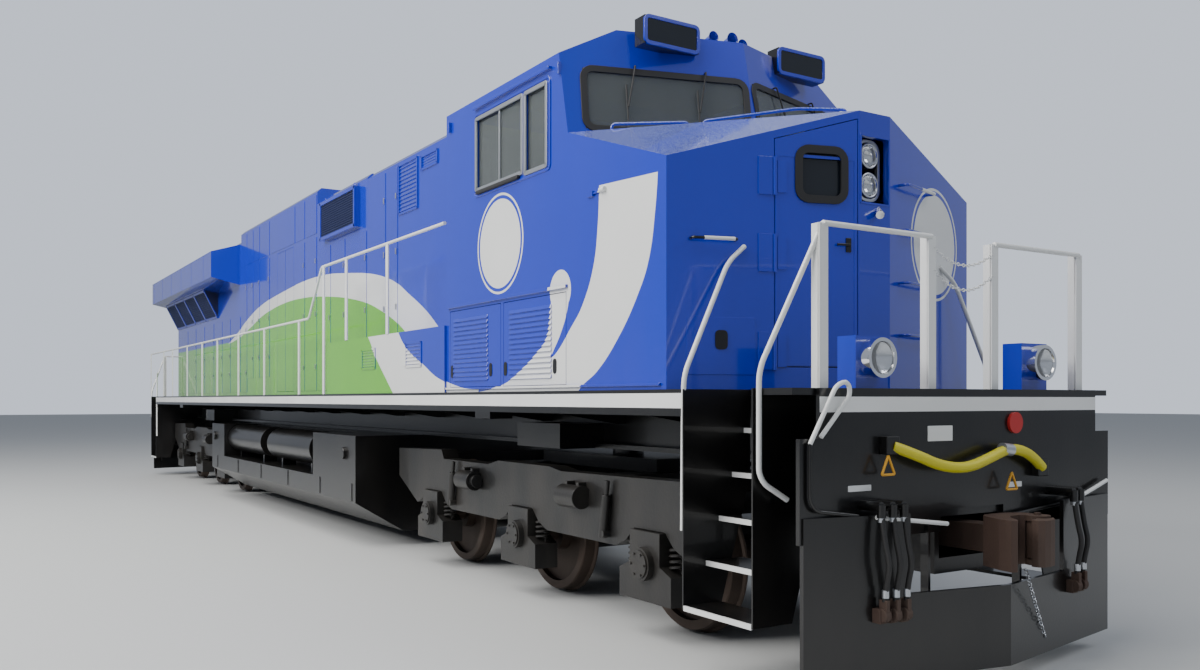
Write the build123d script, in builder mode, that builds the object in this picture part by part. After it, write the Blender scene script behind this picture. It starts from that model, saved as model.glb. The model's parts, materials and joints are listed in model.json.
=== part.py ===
"""Six-axle diesel-electric freight locomotive, full size.

Millimetres. +X points forward (cab end), +Y to the left side, +Z up. The origin lies under the
middle of the locomotive, level with the tips of the wheel flanges; the rail top is at FLANGE_HEIGHT.
"""
import os
from math import atan2, cos, degrees, radians, sin

from build123d import *

os.makedirs("parts", exist_ok=True)

# Wheels and axles
FLANGE_HEIGHT = 28.0
WHEEL_RADIUS = 533.5
AXLE_Z = FLANGE_HEIGHT + WHEEL_RADIUS
BACK_TO_BACK = 1358.0
RIM_WIDTH = 140.0
RIM_INNER_RADIUS = 455.0
AXLE_RADIUS = 105.0
JOURNAL_RADIUS = 90.0
JOURNAL_END = 1110.0
HUB_RADIUS = 165.0
AXLE_SPACING = 2000.0
BOGIE_X = 7050.0

# Running clearances between pieces that move on each other
JOURNAL_GAP = 1.5
PIVOT_GAP = 6.0
DOOR_GAP = 6.0

# Main frame
COUPLER_FACE = 11500.0
COUPLER_Z = 907.0
POCKET_X = 10200.0
PLATFORM_END = 10960.0
DECK_TOP = 1840.0
DECK_THICKNESS = 40.0
SILL_Y = 1560.0
SILL_BOTTOM = 1665.0
SILL_PLATE = 30.0
MAIN_SILL_BOTTOM = 1340.0
MAIN_SILL_Y = 520.0
MAIN_SILL_FLANGE = 240.0
CENTRE_PIN_RADIUS = 150.0
CENTRE_PIN_BOTTOM = 1000.0

# Steps at the four corners
STEP_INNER_X = {1: 9990.0, -1: 10170.0}
STEP_WIDTH = 660.0
STEP_TREADS = [(450, 1560), (725, 1377), (1010, 1269), (1293, 1158), (1583, 1056)]
STEP_DEPTH = 300.0
STEP_BACK_Y = 1000.0
PLATE = 12.0

# Bodywork
HOOD_HALF = 1050.0
CAB_HALF = 1527.0
WALL = 50.0
CAB_REAR_X = 6200.0
NOSE_CORNER_X = 9760.0
NOSE_FRONT_X = 10170.0
NOSE_FLAT_HALF = 153.0
NOSE_CORNER_Z = 3391.0
NOSE_TOP_Z = 3825.0
NOSE_TOP_FRONT_Z = 3799.0
CAB_EAVES_Z = 4480.0
CAB_ROOF_Z = 4720.0
CAB_ROOF_HALF = 1050.0
CAB_FRONT_X = 8480.0
CAB_RAKE = 0.215
CAB_SWEEP = 0.298
CAB_FLOOR_Z = 2480.0

# Hood sections, front to rear
EQUIPMENT_X = 2653.0
ENGINE_X = 530.0
RADIATOR_X = -4110.0
HOOD_REAR_X = -10300.0
EQUIPMENT_TOP = 4645.0
BLOWER_TOP = 4665.0
ENGINE_TOP = 4850.0
RADIATOR_TOP = 4690.0


def save(piece, label):
    """Name a finished piece and write its STEP file."""
    piece.part.label = label
    export_step(piece.part, f"parts/{label}.step")


def box(x, y, z, mode=Mode.ADD):
    """A block between two X, two Y and two Z values, in the part being built."""
    centre = [(low + high) / 2 for low, high in (x, y, z)]
    with Locations(tuple(centre)):
        Box(abs(x[1] - x[0]), abs(y[1] - y[0]), abs(z[1] - z[0]), mode=mode)


def prism(plane, outline, depth, mode=Mode.ADD, both=False):
    """A straight-sided outline on a plane, extruded along the plane's normal."""
    with BuildSketch(plane) as profile:
        with BuildLine():
            Polyline(*outline, close=True)
        make_face()
    extrude(profile.sketch, amount=depth, both=both, mode=mode)


def tube(points, bend, radius):
    """A round tube along straight runs joined by tangent arcs."""
    with BuildLine() as route:
        if len(points) > 2:
            FilletPolyline(*points, radius=bend)
        else:
            Line(*points)
    with BuildSketch(Plane(origin=route.line @ 0, z_dir=route.line % 0)) as section:
        Circle(radius)
    sweep(section.sketch, path=route.line)


def at_x(x):
    """A plane across the locomotive: sketch x is Y, sketch y is Z, extruding forward."""
    return Plane(origin=(x, 0, 0), x_dir=(0, 1, 0), z_dir=(1, 0, 0))


def at_y(y):
    """A plane along the locomotive: sketch x is X, sketch y is Z, extruding to the right side."""
    return Plane(origin=(0, y, 0), x_dir=(1, 0, 0), z_dir=(0, -1, 0))


# Wheelsets: one turned solid each, both wheels and the axle

def wheelset_profile():
    """Half of the turned outline, as distance from the middle and radius."""
    inner = BACK_TO_BACK / 2
    outer = inner + RIM_WIDTH
    flange = WHEEL_RADIUS + FLANGE_HEIGHT
    web = inner + 0.4 * RIM_WIDTH
    return [
        (0, AXLE_RADIUS),
        (inner - 30, AXLE_RADIUS),
        (inner - 30, HUB_RADIUS),
        (web - 34, HUB_RADIUS + 10),
        (web + 2, RIM_INNER_RADIUS),
        (inner, RIM_INNER_RADIUS),
        (inner, flange - 20),
        (inner + 8, flange - 4),
        (inner + 18, flange),
        (inner + 28, flange - 6),
        (inner + 38, WHEEL_RADIUS + 4),
        (outer - 10, WHEEL_RADIUS - 4),
        (outer, WHEEL_RADIUS - 12),
        (outer, RIM_INNER_RADIUS),
        (web + 32, RIM_INNER_RADIUS),
        (web + 6, HUB_RADIUS + 10),
        (outer + 10, HUB_RADIUS),
        (outer + 10, JOURNAL_RADIUS),
        (JOURNAL_END, JOURNAL_RADIUS),
    ]


for end_name, end in (("front", 1), ("rear", -1)):
    for number, ahead in enumerate((AXLE_SPACING, 0, -AXLE_SPACING), start=1):
        half = wheelset_profile()
        outline = half + [(JOURNAL_END, 0), (-JOURNAL_END, 0)] + [(-y, r) for y, r in reversed(half[1:])]
        x = end * BOGIE_X + ahead
        with BuildPart() as wheelset:
            with BuildSketch(Plane(origin=(x, 0, AXLE_Z), x_dir=(0, 1, 0), z_dir=(1, 0, 0))):
                with BuildLine():
                    Polyline(*outline, close=True)
                make_face()
            revolve(axis=Axis((x, 0, AXLE_Z), (0, 1, 0)))
        save(wheelset, f"wheelset_{end_name}_{number}")


# Bogies. Both face the same way, with their motors behind the axles; the tables hold
# distances ahead of the bogie's centre.
BOGIE_SIDE_IN = 985.0
BOGIE_SIDE_OUT = 1165.0
BOGIE_BACK = -3000.0
BOGIE_FRONT = 2480.0
SIDE_FRAME_TOP = [
    (2480, 1190), (700, 1165), (500, 1195), (-480, 1195), (-700, 1150),
    (-1740, 1150), (-1800, 1245), (-3000, 1215),
]
BOX_HALF = 330.0
BOX_HEAD_HALF = 190.0
BOX_BOTTOM = 285.0
BOX_TOP = 800.0
BOX_FACE = 1210.0
CROSSBEAM_X = (1000.0, -1000.0)
TRANSOM_HALF = 150.0
MOTOR_OFFSET = 610.0
MOTOR_RADIUS = 350.0
MOTOR_HALF = 520.0
ROTATE_Y = (90, 0, 0)


def side_frame_outline():
    """Cast side frame seen from the side: stepped top, a jaw over each axle box, arched between."""
    lower = []
    jaw = BOX_HEAD_HALF + 120
    for axle in (-AXLE_SPACING, 0, AXLE_SPACING):
        lower += [
            (axle - jaw - 150, 640), (axle - jaw, 700), (axle - BOX_HEAD_HALF - PIVOT_GAP, BOX_TOP + PIVOT_GAP),
            (axle + BOX_HEAD_HALF + PIVOT_GAP, BOX_TOP + PIVOT_GAP), (axle + jaw, 700), (axle + jaw + 150, 640),
        ]
    return [(BOGIE_BACK, 900)] + lower + SIDE_FRAME_TOP


for end_name, end in (("front", 1), ("rear", -1)):
    centre = end * BOGIE_X
    axles = [centre + ahead for ahead in (AXLE_SPACING, 0, -AXLE_SPACING)]
    with BuildPart() as bogie_frame:
        side = [(centre + x, z) for x, z in side_frame_outline()]
        prism(at_y(BOGIE_SIDE_OUT), side, BOGIE_SIDE_OUT - BOGIE_SIDE_IN)
        for x in CROSSBEAM_X:
            box((centre + x - TRANSOM_HALF, centre + x + TRANSOM_HALF), (0, BOGIE_SIDE_IN + 20), (1000, 1145))
        box((centre + BOGIE_BACK, centre + BOGIE_BACK + 120), (0, BOGIE_SIDE_IN + 20), (950, 1150))
        mirror(about=Plane.XZ)
        box((centre - 1000, centre + 1000), (-380, 380), (1135, 1255))
        with Locations((centre, 0, 1200)):
            Cylinder(CENTRE_PIN_RADIUS + PIVOT_GAP, 600, mode=Mode.SUBTRACT)
    save(bogie_frame, f"bogie_frame_{end_name}")

    with BuildPart() as journal_boxes:
        for x in axles:
            outline = [
                (x - BOX_HALF, BOX_BOTTOM), (x + BOX_HALF, BOX_BOTTOM), (x + BOX_HALF, 500),
                (x + BOX_HEAD_HALF, 560), (x + BOX_HEAD_HALF, BOX_TOP), (x - BOX_HEAD_HALF, BOX_TOP),
                (x - BOX_HEAD_HALF, 560), (x - BOX_HALF, 500),
            ]
            prism(at_y(BOX_FACE), outline, BOX_FACE - BOGIE_SIDE_IN)
            with Locations(Location((x, BOX_FACE + 20, AXLE_Z), ROTATE_Y)):
                Cylinder(125, 60)
            bore_end = JOURNAL_END + PIVOT_GAP
            with Locations(Location((x, (BOGIE_SIDE_IN + bore_end) / 2, AXLE_Z), ROTATE_Y)):
                Cylinder(JOURNAL_RADIUS + JOURNAL_GAP, bore_end - BOGIE_SIDE_IN, mode=Mode.SUBTRACT)
        mirror(about=Plane.XZ)
    save(journal_boxes, f"journal_boxes_{end_name}")

    with BuildPart() as traction_motors:
        for x in axles:
            with Locations(Location((x - MOTOR_OFFSET, 0, AXLE_Z + 60), ROTATE_Y)):
                Cylinder(MOTOR_RADIUS, 2 * MOTOR_HALF)
    save(traction_motors, f"traction_motors_{end_name}")


# Main frame: the deck with its side sills, and the centre sills with their bearers and bolsters

SILL_LIP = 120.0
LIP_THICKNESS = 20.0
DECK_UNDERSIDE = DECK_TOP - DECK_THICKNESS
JACK_PAD = (300.0, 220.0, 60.0)
DRAFT_PIN_RADIUS = 45.0
COUPLER_PIVOT = 880.0
POCKET_HALF = 290.0
POCKET_HALF_HEIGHT = 130.0
POCKET_WALL = 40.0
POCKET_BOTTOM = 680.0
DIAPHRAGM = 30.0

with BuildPart() as underframe:
    box((-PLATFORM_END, PLATFORM_END), (-SILL_Y + SILL_PLATE, SILL_Y - SILL_PLATE), (DECK_UNDERSIDE, DECK_TOP))
    for side in (1, -1):
        plate_y = side * (SILL_Y - SILL_PLATE)
        lip_y = side * (SILL_Y - SILL_LIP)
        sill = [
            (side * SILL_Y, DECK_TOP), (side * SILL_Y, SILL_BOTTOM), (lip_y, SILL_BOTTOM),
            (lip_y, SILL_BOTTOM + LIP_THICKNESS), (plate_y, SILL_BOTTOM + LIP_THICKNESS), (plate_y, DECK_TOP),
        ]
        prism(at_x(-STEP_INNER_X[-1] + PLATE), sill, STEP_INNER_X[-1] + STEP_INNER_X[1] - 2 * PLATE)
        for end in (1, -1):
            x = end * BOGIE_X
            box((x - JACK_PAD[0] / 2, x + JACK_PAD[0] / 2), (side * SILL_Y, side * (SILL_Y - JACK_PAD[1])),
                (SILL_BOTTOM - JACK_PAD[2], SILL_BOTTOM))
    for end in (1, -1):
        for y in (1, -1):
            corner_x = (end * (STEP_INNER_X[end] - PLATE), end * (STEP_INNER_X[end] + STEP_WIDTH + PLATE))
            box(corner_x, (y * STEP_BACK_Y, y * SILL_Y * 1.1), (1600, 2000), mode=Mode.SUBTRACT)
save(underframe, "underframe")

with BuildPart() as centre_sills:
    for side in (1, -1):
        y = side * MAIN_SILL_Y
        box((-POCKET_X, POCKET_X), (y - 15, y + 15), (MAIN_SILL_BOTTOM, DECK_UNDERSIDE))
        box((-POCKET_X, POCKET_X), (y - MAIN_SILL_FLANGE / 2, y + MAIN_SILL_FLANGE / 2), (MAIN_SILL_BOTTOM, MAIN_SILL_BOTTOM + 40))
    bearer = [
        (-1420, DECK_UNDERSIDE), (1420, DECK_UNDERSIDE), (1420, 1690), (640, 1560), (-640, 1560), (-1420, 1690),
    ]
    for index in range(15):
        prism(at_x(-9100 + 1300 * index - 10), bearer, 20)
    for end in (1, -1):
        x = end * BOGIE_X
        box((x - 400, x + 400), (-1000, 1000), (MAIN_SILL_BOTTOM, 1560))
        with Locations((x, 0, (CENTRE_PIN_BOTTOM + MAIN_SILL_BOTTOM) / 2)):
            Cylinder(CENTRE_PIN_RADIUS, MAIN_SILL_BOTTOM - CENTRE_PIN_BOTTOM + 2)
        box((end * (POCKET_X - DIAPHRAGM), end * POCKET_X), (-MAIN_SILL_Y, MAIN_SILL_Y), (MAIN_SILL_BOTTOM, DECK_UNDERSIDE))
save(centre_sills, "centre_sills")

with BuildPart() as draft_pockets:
    for end in (1, -1):
        outer_half = POCKET_HALF + POCKET_WALL
        box((end * POCKET_X, end * PLATFORM_END), (-outer_half, outer_half), (POCKET_BOTTOM, DECK_UNDERSIDE))
        box((end * (POCKET_X + POCKET_WALL), end * (PLATFORM_END + 10)), (-POCKET_HALF, POCKET_HALF),
            (COUPLER_Z - POCKET_HALF_HEIGHT, COUPLER_Z + POCKET_HALF_HEIGHT), mode=Mode.SUBTRACT)
        with Locations((end * (COUPLER_FACE - COUPLER_PIVOT), 0, COUPLER_Z)):
            Cylinder(DRAFT_PIN_RADIUS, 2 * POCKET_HALF_HEIGHT + 10)
save(draft_pockets, "draft_pockets")


# Pilots: upright end sheet and plough

PILOT_SHEET = [
    (-1500, 950), (1500, 950), (1500, 1550), (1345, 1550), (1345, DECK_TOP),
    (-1345, DECK_TOP), (-1345, 1550), (-1500, 1550),
]
for end_name, end in (("front", 1), ("rear", -1)):
    with BuildPart() as pilot:
        face = end * PLATFORM_END
        prism(at_x(face), PILOT_SHEET, end * 30)
        box(sorted((face, face + end * 30)), (-310, 310), (COUPLER_Z - 180, COUPLER_Z + 180), mode=Mode.SUBTRACT)
        for side in (1, -1):
            with BuildSketch(Plane.XY.offset(130)) as plough:
                with BuildLine():
                    Polyline(
                        (end * 11270, 0), (end * 11000, side * 1480), (end * 10970, side * 1480),
                        (end * 11240, 0), close=True,
                    )
                make_face()
            extrude(plough.sketch, amount=500)
            with BuildSketch(Plane.XY.offset(600)) as shoulder:
                with BuildLine():
                    Polyline(
                        (end * 11133, side * 750), (end * 11000, side * 1480), (end * 10970, side * 1480),
                        (end * 11103, side * 750), close=True,
                    )
                make_face()
            extrude(shoulder.sketch, amount=500)
        for y in (-1300, -450, 450, 1300):
            box(sorted((face, face + end * 60)), (y - 10, y + 10), (300, 1000))
    save(pilot, f"pilot_{end_name}")


# Corner steps

with BuildPart() as corner_steps:
    for end in (1, -1):
        inner = end * STEP_INNER_X[end]
        outer_end = end * (STEP_INNER_X[end] + STEP_WIDTH)
        for side in (1, -1):
            for height, outer in STEP_TREADS:
                box((inner, outer_end), (side * outer, side * (outer - STEP_DEPTH)), (height - 25, height))
            stringer = [
                (side * SILL_Y, 425), (side * SILL_Y, DECK_TOP), (side * STEP_BACK_Y, DECK_TOP),
                (side * STEP_BACK_Y, 1260), (side * 1250, 425),
            ]
            prism(at_x(inner), stringer, -end * PLATE)
            prism(at_x(outer_end), stringer, end * PLATE)
save(corner_steps, "corner_steps")


# Fuel tank with bays for the air reservoirs

TANK_X = (-4380.0, 3500.0)
TANK_TOP = MAIN_SILL_BOTTOM
TANK_HALF = 1500.0
BAY_X = (-3410.0, 1815.0)
BAY_FLOOR = 780.0
BAY_Y = 930.0
RESERVOIR_RADIUS = 235.0
RESERVOIR_Y = 1205.0
RESERVOIR_Z = 1100.0
RESERVOIRS = [(-3380.0, -1150.0), (-760.0, 1440.0)]

with BuildPart() as fuel_tank:
    tank = [
        (-TANK_HALF, TANK_TOP), (-TANK_HALF, 545), (-900, 180), (900, 180), (TANK_HALF, 545), (TANK_HALF, TANK_TOP),
    ]
    prism(at_x(TANK_X[0]), tank, TANK_X[1] - TANK_X[0])
    for side in (1, -1):
        box(BAY_X, sorted((side * BAY_Y, side * 1600)), (BAY_FLOOR, TANK_TOP + 10), mode=Mode.SUBTRACT)
save(fuel_tank, "fuel_tank")

with BuildPart() as air_reservoirs:
    for side in (1, -1):
        for start, stop in RESERVOIRS:
            with Locations(Location(((start + stop) / 2, side * RESERVOIR_Y, RESERVOIR_Z), (0, 90, 0))):
                Cylinder(RESERVOIR_RADIUS, stop - start)
            for x in (start + 350, stop - 350):
                box((x - 30, x + 30), sorted((side * 1100, side * 1300)), (BAY_FLOOR, RESERVOIR_Z))
save(air_reservoirs, "air_reservoirs")


# Nose and cab volumes, built for an outer face and again for the inner face of the walls

def cut_above(origin, normal, inset):
    """Take away all that lies beyond a sloping plane, which is first moved in by inset."""
    normal = normal.normalized()
    with BuildSketch(Plane(origin=Vector(*origin) - normal * inset, z_dir=normal)) as lid:
        Rectangle(9000, 9000)
    extrude(lid.sketch, amount=3500, mode=Mode.SUBTRACT)


def nose_volume(inset, floor):
    """The nose, its faces moved in by inset and its underside at floor."""
    with BuildPart() as volume:
        with BuildSketch(Plane.XY.offset(floor)) as plan:
            with BuildLine():
                Polyline(
                    (CAB_FRONT_X - inset, -CAB_HALF), (NOSE_CORNER_X, -CAB_HALF), (NOSE_FRONT_X, -NOSE_FLAT_HALF),
                    (NOSE_FRONT_X, NOSE_FLAT_HALF), (NOSE_CORNER_X, CAB_HALF), (CAB_FRONT_X - inset, CAB_HALF),
                    close=True,
                )
            make_face()
            offset(amount=-inset, kind=Kind.INTERSECTION)
        extrude(amount=NOSE_TOP_Z - floor + 100)
        crease = Vector(NOSE_FRONT_X - CAB_FRONT_X, CAB_HALF - NOSE_FLAT_HALF, NOSE_TOP_FRONT_Z - NOSE_TOP_Z)
        edge = Vector(NOSE_CORNER_X - CAB_FRONT_X, 0, NOSE_CORNER_Z - NOSE_TOP_Z)
        bevel = edge.cross(crease)
        cut_above((CAB_FRONT_X, 0, NOSE_TOP_Z), Vector(-crease.Z, 0, crease.X), inset)
        cut_above((CAB_FRONT_X, -CAB_HALF, NOSE_TOP_Z), bevel, inset)
        cut_above((CAB_FRONT_X, CAB_HALF, NOSE_TOP_Z), Vector(bevel.X, -bevel.Y, bevel.Z), inset)
    return volume.part


def cab_volume(inset, floor):
    """The cab body with its swept, raked front, its faces moved in by inset."""
    with BuildPart() as volume:
        with BuildSketch(at_x(CAB_REAR_X + inset)) as section:
            with BuildLine():
                Polyline(
                    (-CAB_HALF, floor - inset), (CAB_HALF, floor - inset), (CAB_HALF, CAB_EAVES_Z),
                    (CAB_ROOF_HALF, CAB_ROOF_Z), (-CAB_ROOF_HALF, CAB_ROOF_Z), (-CAB_HALF, CAB_EAVES_Z), close=True,
                )
            make_face()
            offset(amount=-inset, kind=Kind.INTERSECTION)
        extrude(amount=3000)
        ridge = (CAB_FRONT_X + CAB_SWEEP * CAB_HALF, 0, NOSE_TOP_Z)
        for side in (1, -1):
            cut_above(ridge, Vector(1, side * CAB_SWEEP, CAB_RAKE), inset)
    return volume.part


nose_outer = nose_volume(0, DECK_TOP)
nose_inner = nose_volume(WALL, DECK_TOP)
cab_outer = cab_volume(0, DECK_TOP)
cab_inner = cab_volume(WALL, DECK_TOP)

# The nose door hangs in the right-hand facet; distances run along the facet from its outer corner
NOSE_SWEEP = degrees(atan2(NOSE_FRONT_X - NOSE_CORNER_X, CAB_HALF - NOSE_FLAT_HALF))
NOSE_DOOR = (785.0, 1415.0)
NOSE_DOOR_BOTTOM = 2000.0
NOSE_DOOR_BELOW_ROOF = 60.0
NOSE_WINDOW = (965.0, 1310.0)
NOSE_WINDOW_Z = (3160.0, 3500.0)


def nose_facet(height):
    """Level plane turned so that its x runs along the right facet towards the middle."""
    return Plane(
        origin=(NOSE_CORNER_X, -CAB_HALF, height),
        x_dir=(sin(radians(NOSE_SWEEP)), cos(radians(NOSE_SWEEP)), 0), z_dir=(0, 0, 1),
    )


def nose_roof_at(along):
    """Height of the nose roof's edge at a distance along the right facet."""
    reach = (CAB_HALF - NOSE_FLAT_HALF) / cos(radians(NOSE_SWEEP))
    return NOSE_CORNER_Z + (NOSE_TOP_FRONT_Z - NOSE_CORNER_Z) * along / reach


def nose_leaf(gap, depth):
    """The nose door's block, grown by gap all round, from its outer face depth inwards."""
    start, stop = NOSE_DOOR[0] - gap, NOSE_DOOR[1] + gap
    face = nose_facet(0)
    upright = Plane(origin=face.origin, x_dir=face.x_dir, z_dir=face.x_dir.cross(Vector(0, 0, 1)))
    with BuildPart() as leaf:
        prism(upright, [
            (start, NOSE_DOOR_BOTTOM - gap), (stop, NOSE_DOOR_BOTTOM - gap),
            (stop, nose_roof_at(stop) - NOSE_DOOR_BELOW_ROOF + gap),
            (start, nose_roof_at(start) - NOSE_DOOR_BELOW_ROOF + gap),
        ], -depth)
    return leaf.part, upright


door_block, facet_upright = nose_leaf(0, WALL)
door_hole = nose_leaf(DOOR_GAP, WALL + 10)[0]

with BuildPart() as nose_shell:
    add(nose_outer)
    add(nose_inner, mode=Mode.SUBTRACT)
    add(door_hole, mode=Mode.SUBTRACT)
    box((NOSE_FRONT_X - 160, NOSE_FRONT_X + 10), (-140, 140), (3160, 3630), mode=Mode.SUBTRACT)
save(nose_shell, "nose_shell")

with BuildPart() as nose_door:
    add(door_block)
    with BuildSketch(facet_upright) as porthole:
        with Locations((sum(NOSE_WINDOW) / 2, sum(NOSE_WINDOW_Z) / 2)):
            RectangleRounded(NOSE_WINDOW[1] - NOSE_WINDOW[0], NOSE_WINDOW_Z[1] - NOSE_WINDOW_Z[0], 70)
    extrude(porthole.sketch, amount=-20, mode=Mode.SUBTRACT)
save(nose_door, "nose_door")


# Cab

SIDE_WINDOWS = [(6870.0, 7740.0, 3660.0, 4290.0), (7800.0, 8150.0, 3640.0, 4290.0)]
REAR_DOOR_Y = (1085.0, 1480.0)
REAR_DOOR_Z = (CAB_FLOOR_Z + 20, 4320.0)
LOCKER_DOORS = [(6290.0, 7340.0), (7400.0, 8450.0)]
LOCKER_Z = (1890.0, 2600.0)
LOCKER_DEPTH = 400.0
LEAF = 40.0
FLOOR_PLATE = 40.0
COAMING = 12.0

with BuildPart() as cab_shell:
    add(cab_outer)
    add(cab_inner, mode=Mode.SUBTRACT)
    add(nose_outer, mode=Mode.SUBTRACT)
    for side in (1, -1):
        for start, stop, low, high in SIDE_WINDOWS:
            box((start, stop), (side * 1400, side * 1600), (low, high), mode=Mode.SUBTRACT)
        box((CAB_REAR_X - 10, CAB_REAR_X + WALL + 10),
            (side * (REAR_DOOR_Y[0] - DOOR_GAP), side * (REAR_DOOR_Y[1] + DOOR_GAP)),
            (REAR_DOOR_Z[0] - DOOR_GAP, REAR_DOOR_Z[1] + DOOR_GAP), mode=Mode.SUBTRACT)
        for start, stop in LOCKER_DOORS:
            box((start - DOOR_GAP, stop + DOOR_GAP), (side * (CAB_HALF - WALL - 10), side * (CAB_HALF + 10)),
                (LOCKER_Z[0] - DOOR_GAP, LOCKER_Z[1] + DOOR_GAP), mode=Mode.SUBTRACT)


def cab_face():
    """Plane on the left half of the cab front; x runs from the middle outwards, y up the rake."""
    along = Vector(-CAB_SWEEP, 1, 0).normalized()
    normal = along.cross(Vector(-CAB_RAKE, 0, 1))
    return Plane(origin=(CAB_FRONT_X + CAB_SWEEP * CAB_HALF, 0, NOSE_TOP_Z), x_dir=along, z_dir=normal)


WINDSHIELD = [(70.0, 45.0), (1450.0, 45.0), (1450.0, 560.0), (70.0, 560.0)]

with BuildPart() as windshields:
    prism(cab_face(), WINDSHIELD, -WALL)
    mirror(about=Plane.XZ)
save(windshields, "windshields")

with BuildPart() as cab_body:
    add(cab_shell.part)
    add(windshields.part, mode=Mode.SUBTRACT)
    box((CAB_REAR_X - 10, 9500), (-1600, 1600), (CAB_EAVES_Z, 5000), mode=Mode.SUBTRACT)
save(cab_body, "cab_body")

with BuildPart() as cab_floor:
    floor_x = (CAB_REAR_X + WALL, CAB_FRONT_X)
    floor_half = CAB_HALF - WALL
    box(floor_x, (LOCKER_DEPTH - CAB_HALF, CAB_HALF - LOCKER_DEPTH), (DECK_TOP, CAB_FLOOR_Z))
    box(floor_x, (-floor_half, floor_half), (CAB_FLOOR_Z - FLOOR_PLATE, CAB_FLOOR_Z))
    for side in (1, -1):
        box(floor_x, (side * (floor_half - COAMING), side * floor_half), (CAB_FLOOR_Z, LOCKER_Z[1] + 2 * DOOR_GAP))
save(cab_floor, "cab_floor")

with BuildPart() as cab_roof:
    add(cab_shell.part)
    box((CAB_REAR_X - 10, 9500), (-1600, 1600), (1000, CAB_EAVES_Z), mode=Mode.SUBTRACT)
save(cab_roof, "cab_roof")

for name, side in (("right", -1), ("left", 1)):
    with BuildPart() as rear_door:
        box((CAB_REAR_X, CAB_REAR_X + WALL), (side * REAR_DOOR_Y[0], side * REAR_DOOR_Y[1]), REAR_DOOR_Z)
    save(rear_door, f"cab_door_{name}")
    for number, (start, stop) in enumerate(LOCKER_DOORS, start=1):
        with BuildPart() as locker:
            box((start, stop), (side * (CAB_HALF - LEAF), side * CAB_HALF), LOCKER_Z)
        save(locker, f"locker_door_{name}_{number}")

with BuildPart() as side_windows:
    for side in (1, -1):
        for start, stop, low, high in SIDE_WINDOWS:
            box((start, stop), (side * (CAB_HALF - 30), side * (CAB_HALF - 20)), (low, high))
save(side_windows, "side_windows")

with BuildPart() as crew_seats:
    for side in (1, -1):
        y = side * 950
        box((6950, 7450), (y - 240, y + 240), (2900, 3020))
        box((6900, 7010), (y - 240, y + 240), (3020, 3750))
        with Locations((7200, y, (CAB_FLOOR_Z + 2900) / 2)):
            Cylinder(70, 2900 - CAB_FLOOR_Z)
save(crew_seats, "crew_seats")

with BuildPart() as control_desk:
    for side in (1, -1):
        box((7750, 8300), (side * 500, side * 1400), (CAB_FLOOR_Z, 3350))
save(control_desk, "control_desk")


# Hood sections behind the cab

def hood_outline(top, chamfer=60):
    """Cross-section of a hood section with bevelled roof edges."""
    return [
        (-HOOD_HALF, DECK_TOP), (HOOD_HALF, DECK_TOP), (HOOD_HALF, top - chamfer), (HOOD_HALF - chamfer, top),
        (-HOOD_HALF + chamfer, top), (-HOOD_HALF, top - chamfer),
    ]


WALKWAY_BOX_X = (2590.0, CAB_REAR_X)
WALKWAY_BOX_TOP = 2480.0

with BuildPart() as equipment_cabinet:
    prism(at_x(EQUIPMENT_X), hood_outline(EQUIPMENT_TOP), CAB_REAR_X - EQUIPMENT_X)
save(equipment_cabinet, "equipment_cabinet")

with BuildPart() as walkway_boxes:
    for side in (1, -1):
        box(WALKWAY_BOX_X, (side * HOOD_HALF, side * (SILL_Y - 10)), (DECK_TOP, WALKWAY_BOX_TOP))
save(walkway_boxes, "walkway_boxes")

with BuildPart() as blower_housing:
    prism(at_x(ENGINE_X), hood_outline(BLOWER_TOP), EQUIPMENT_X - ENGINE_X)
    for side in (1, -1):
        box((890, 2363), (side * HOOD_HALF, side * (HOOD_HALF + 60)), (4020, 4546))
save(blower_housing, "blower_housing")

ENGINE_DOOR_WIDTH = 460.0
ENGINE_DOORS = [(-1150.0, 1), (-1630.0, -1)]
ENGINE_DOOR_Z = (1900.0, 4140.0)
HOOD_WALL = 60.0

with BuildPart() as engine_hood:
    prism(at_x(RADIATOR_X), hood_outline(ENGINE_TOP), ENGINE_X - RADIATOR_X)
    inner = HOOD_HALF - HOOD_WALL
    box((RADIATOR_X + HOOD_WALL, ENGINE_X - HOOD_WALL), (-inner, inner), (DECK_TOP - 1, ENGINE_TOP - HOOD_WALL),
        mode=Mode.SUBTRACT)
    for side in (1, -1):
        for start, _ in ENGINE_DOORS:
            box((start - DOOR_GAP, start + ENGINE_DOOR_WIDTH + DOOR_GAP), (side * 900, side * 1200),
                (ENGINE_DOOR_Z[0] - DOOR_GAP, ENGINE_DOOR_Z[1] + DOOR_GAP), mode=Mode.SUBTRACT)
save(engine_hood, "engine_hood")

for name, side in (("right", -1), ("left", 1)):
    for number, (start, _) in enumerate(ENGINE_DOORS, start=1):
        with BuildPart() as engine_door:
            box((start, start + ENGINE_DOOR_WIDTH), (side * (HOOD_HALF - LEAF), side * HOOD_HALF), ENGINE_DOOR_Z)
        save(engine_door, f"engine_door_{name}_{number}")

with BuildPart() as engine_block:
    box((-3700, 100), (-650, 650), (DECK_TOP, 3900))
save(engine_block, "engine_block")

SCREEN_FOOT_Z = 3400.0
SCREEN_TOP = (1320.0, 3945.0)
WING_BOTTOM_Z = 4000.0
WING_TOP_Z = 4470.0
WING_REAR_X = -10650.0
SCREEN_FRONT_X = -6040.0

with BuildPart() as radiator_cabinet:
    prism(at_x(HOOD_REAR_X), hood_outline(RADIATOR_TOP), RADIATOR_X - HOOD_REAR_X)
save(radiator_cabinet, "radiator_cabinet")

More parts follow.
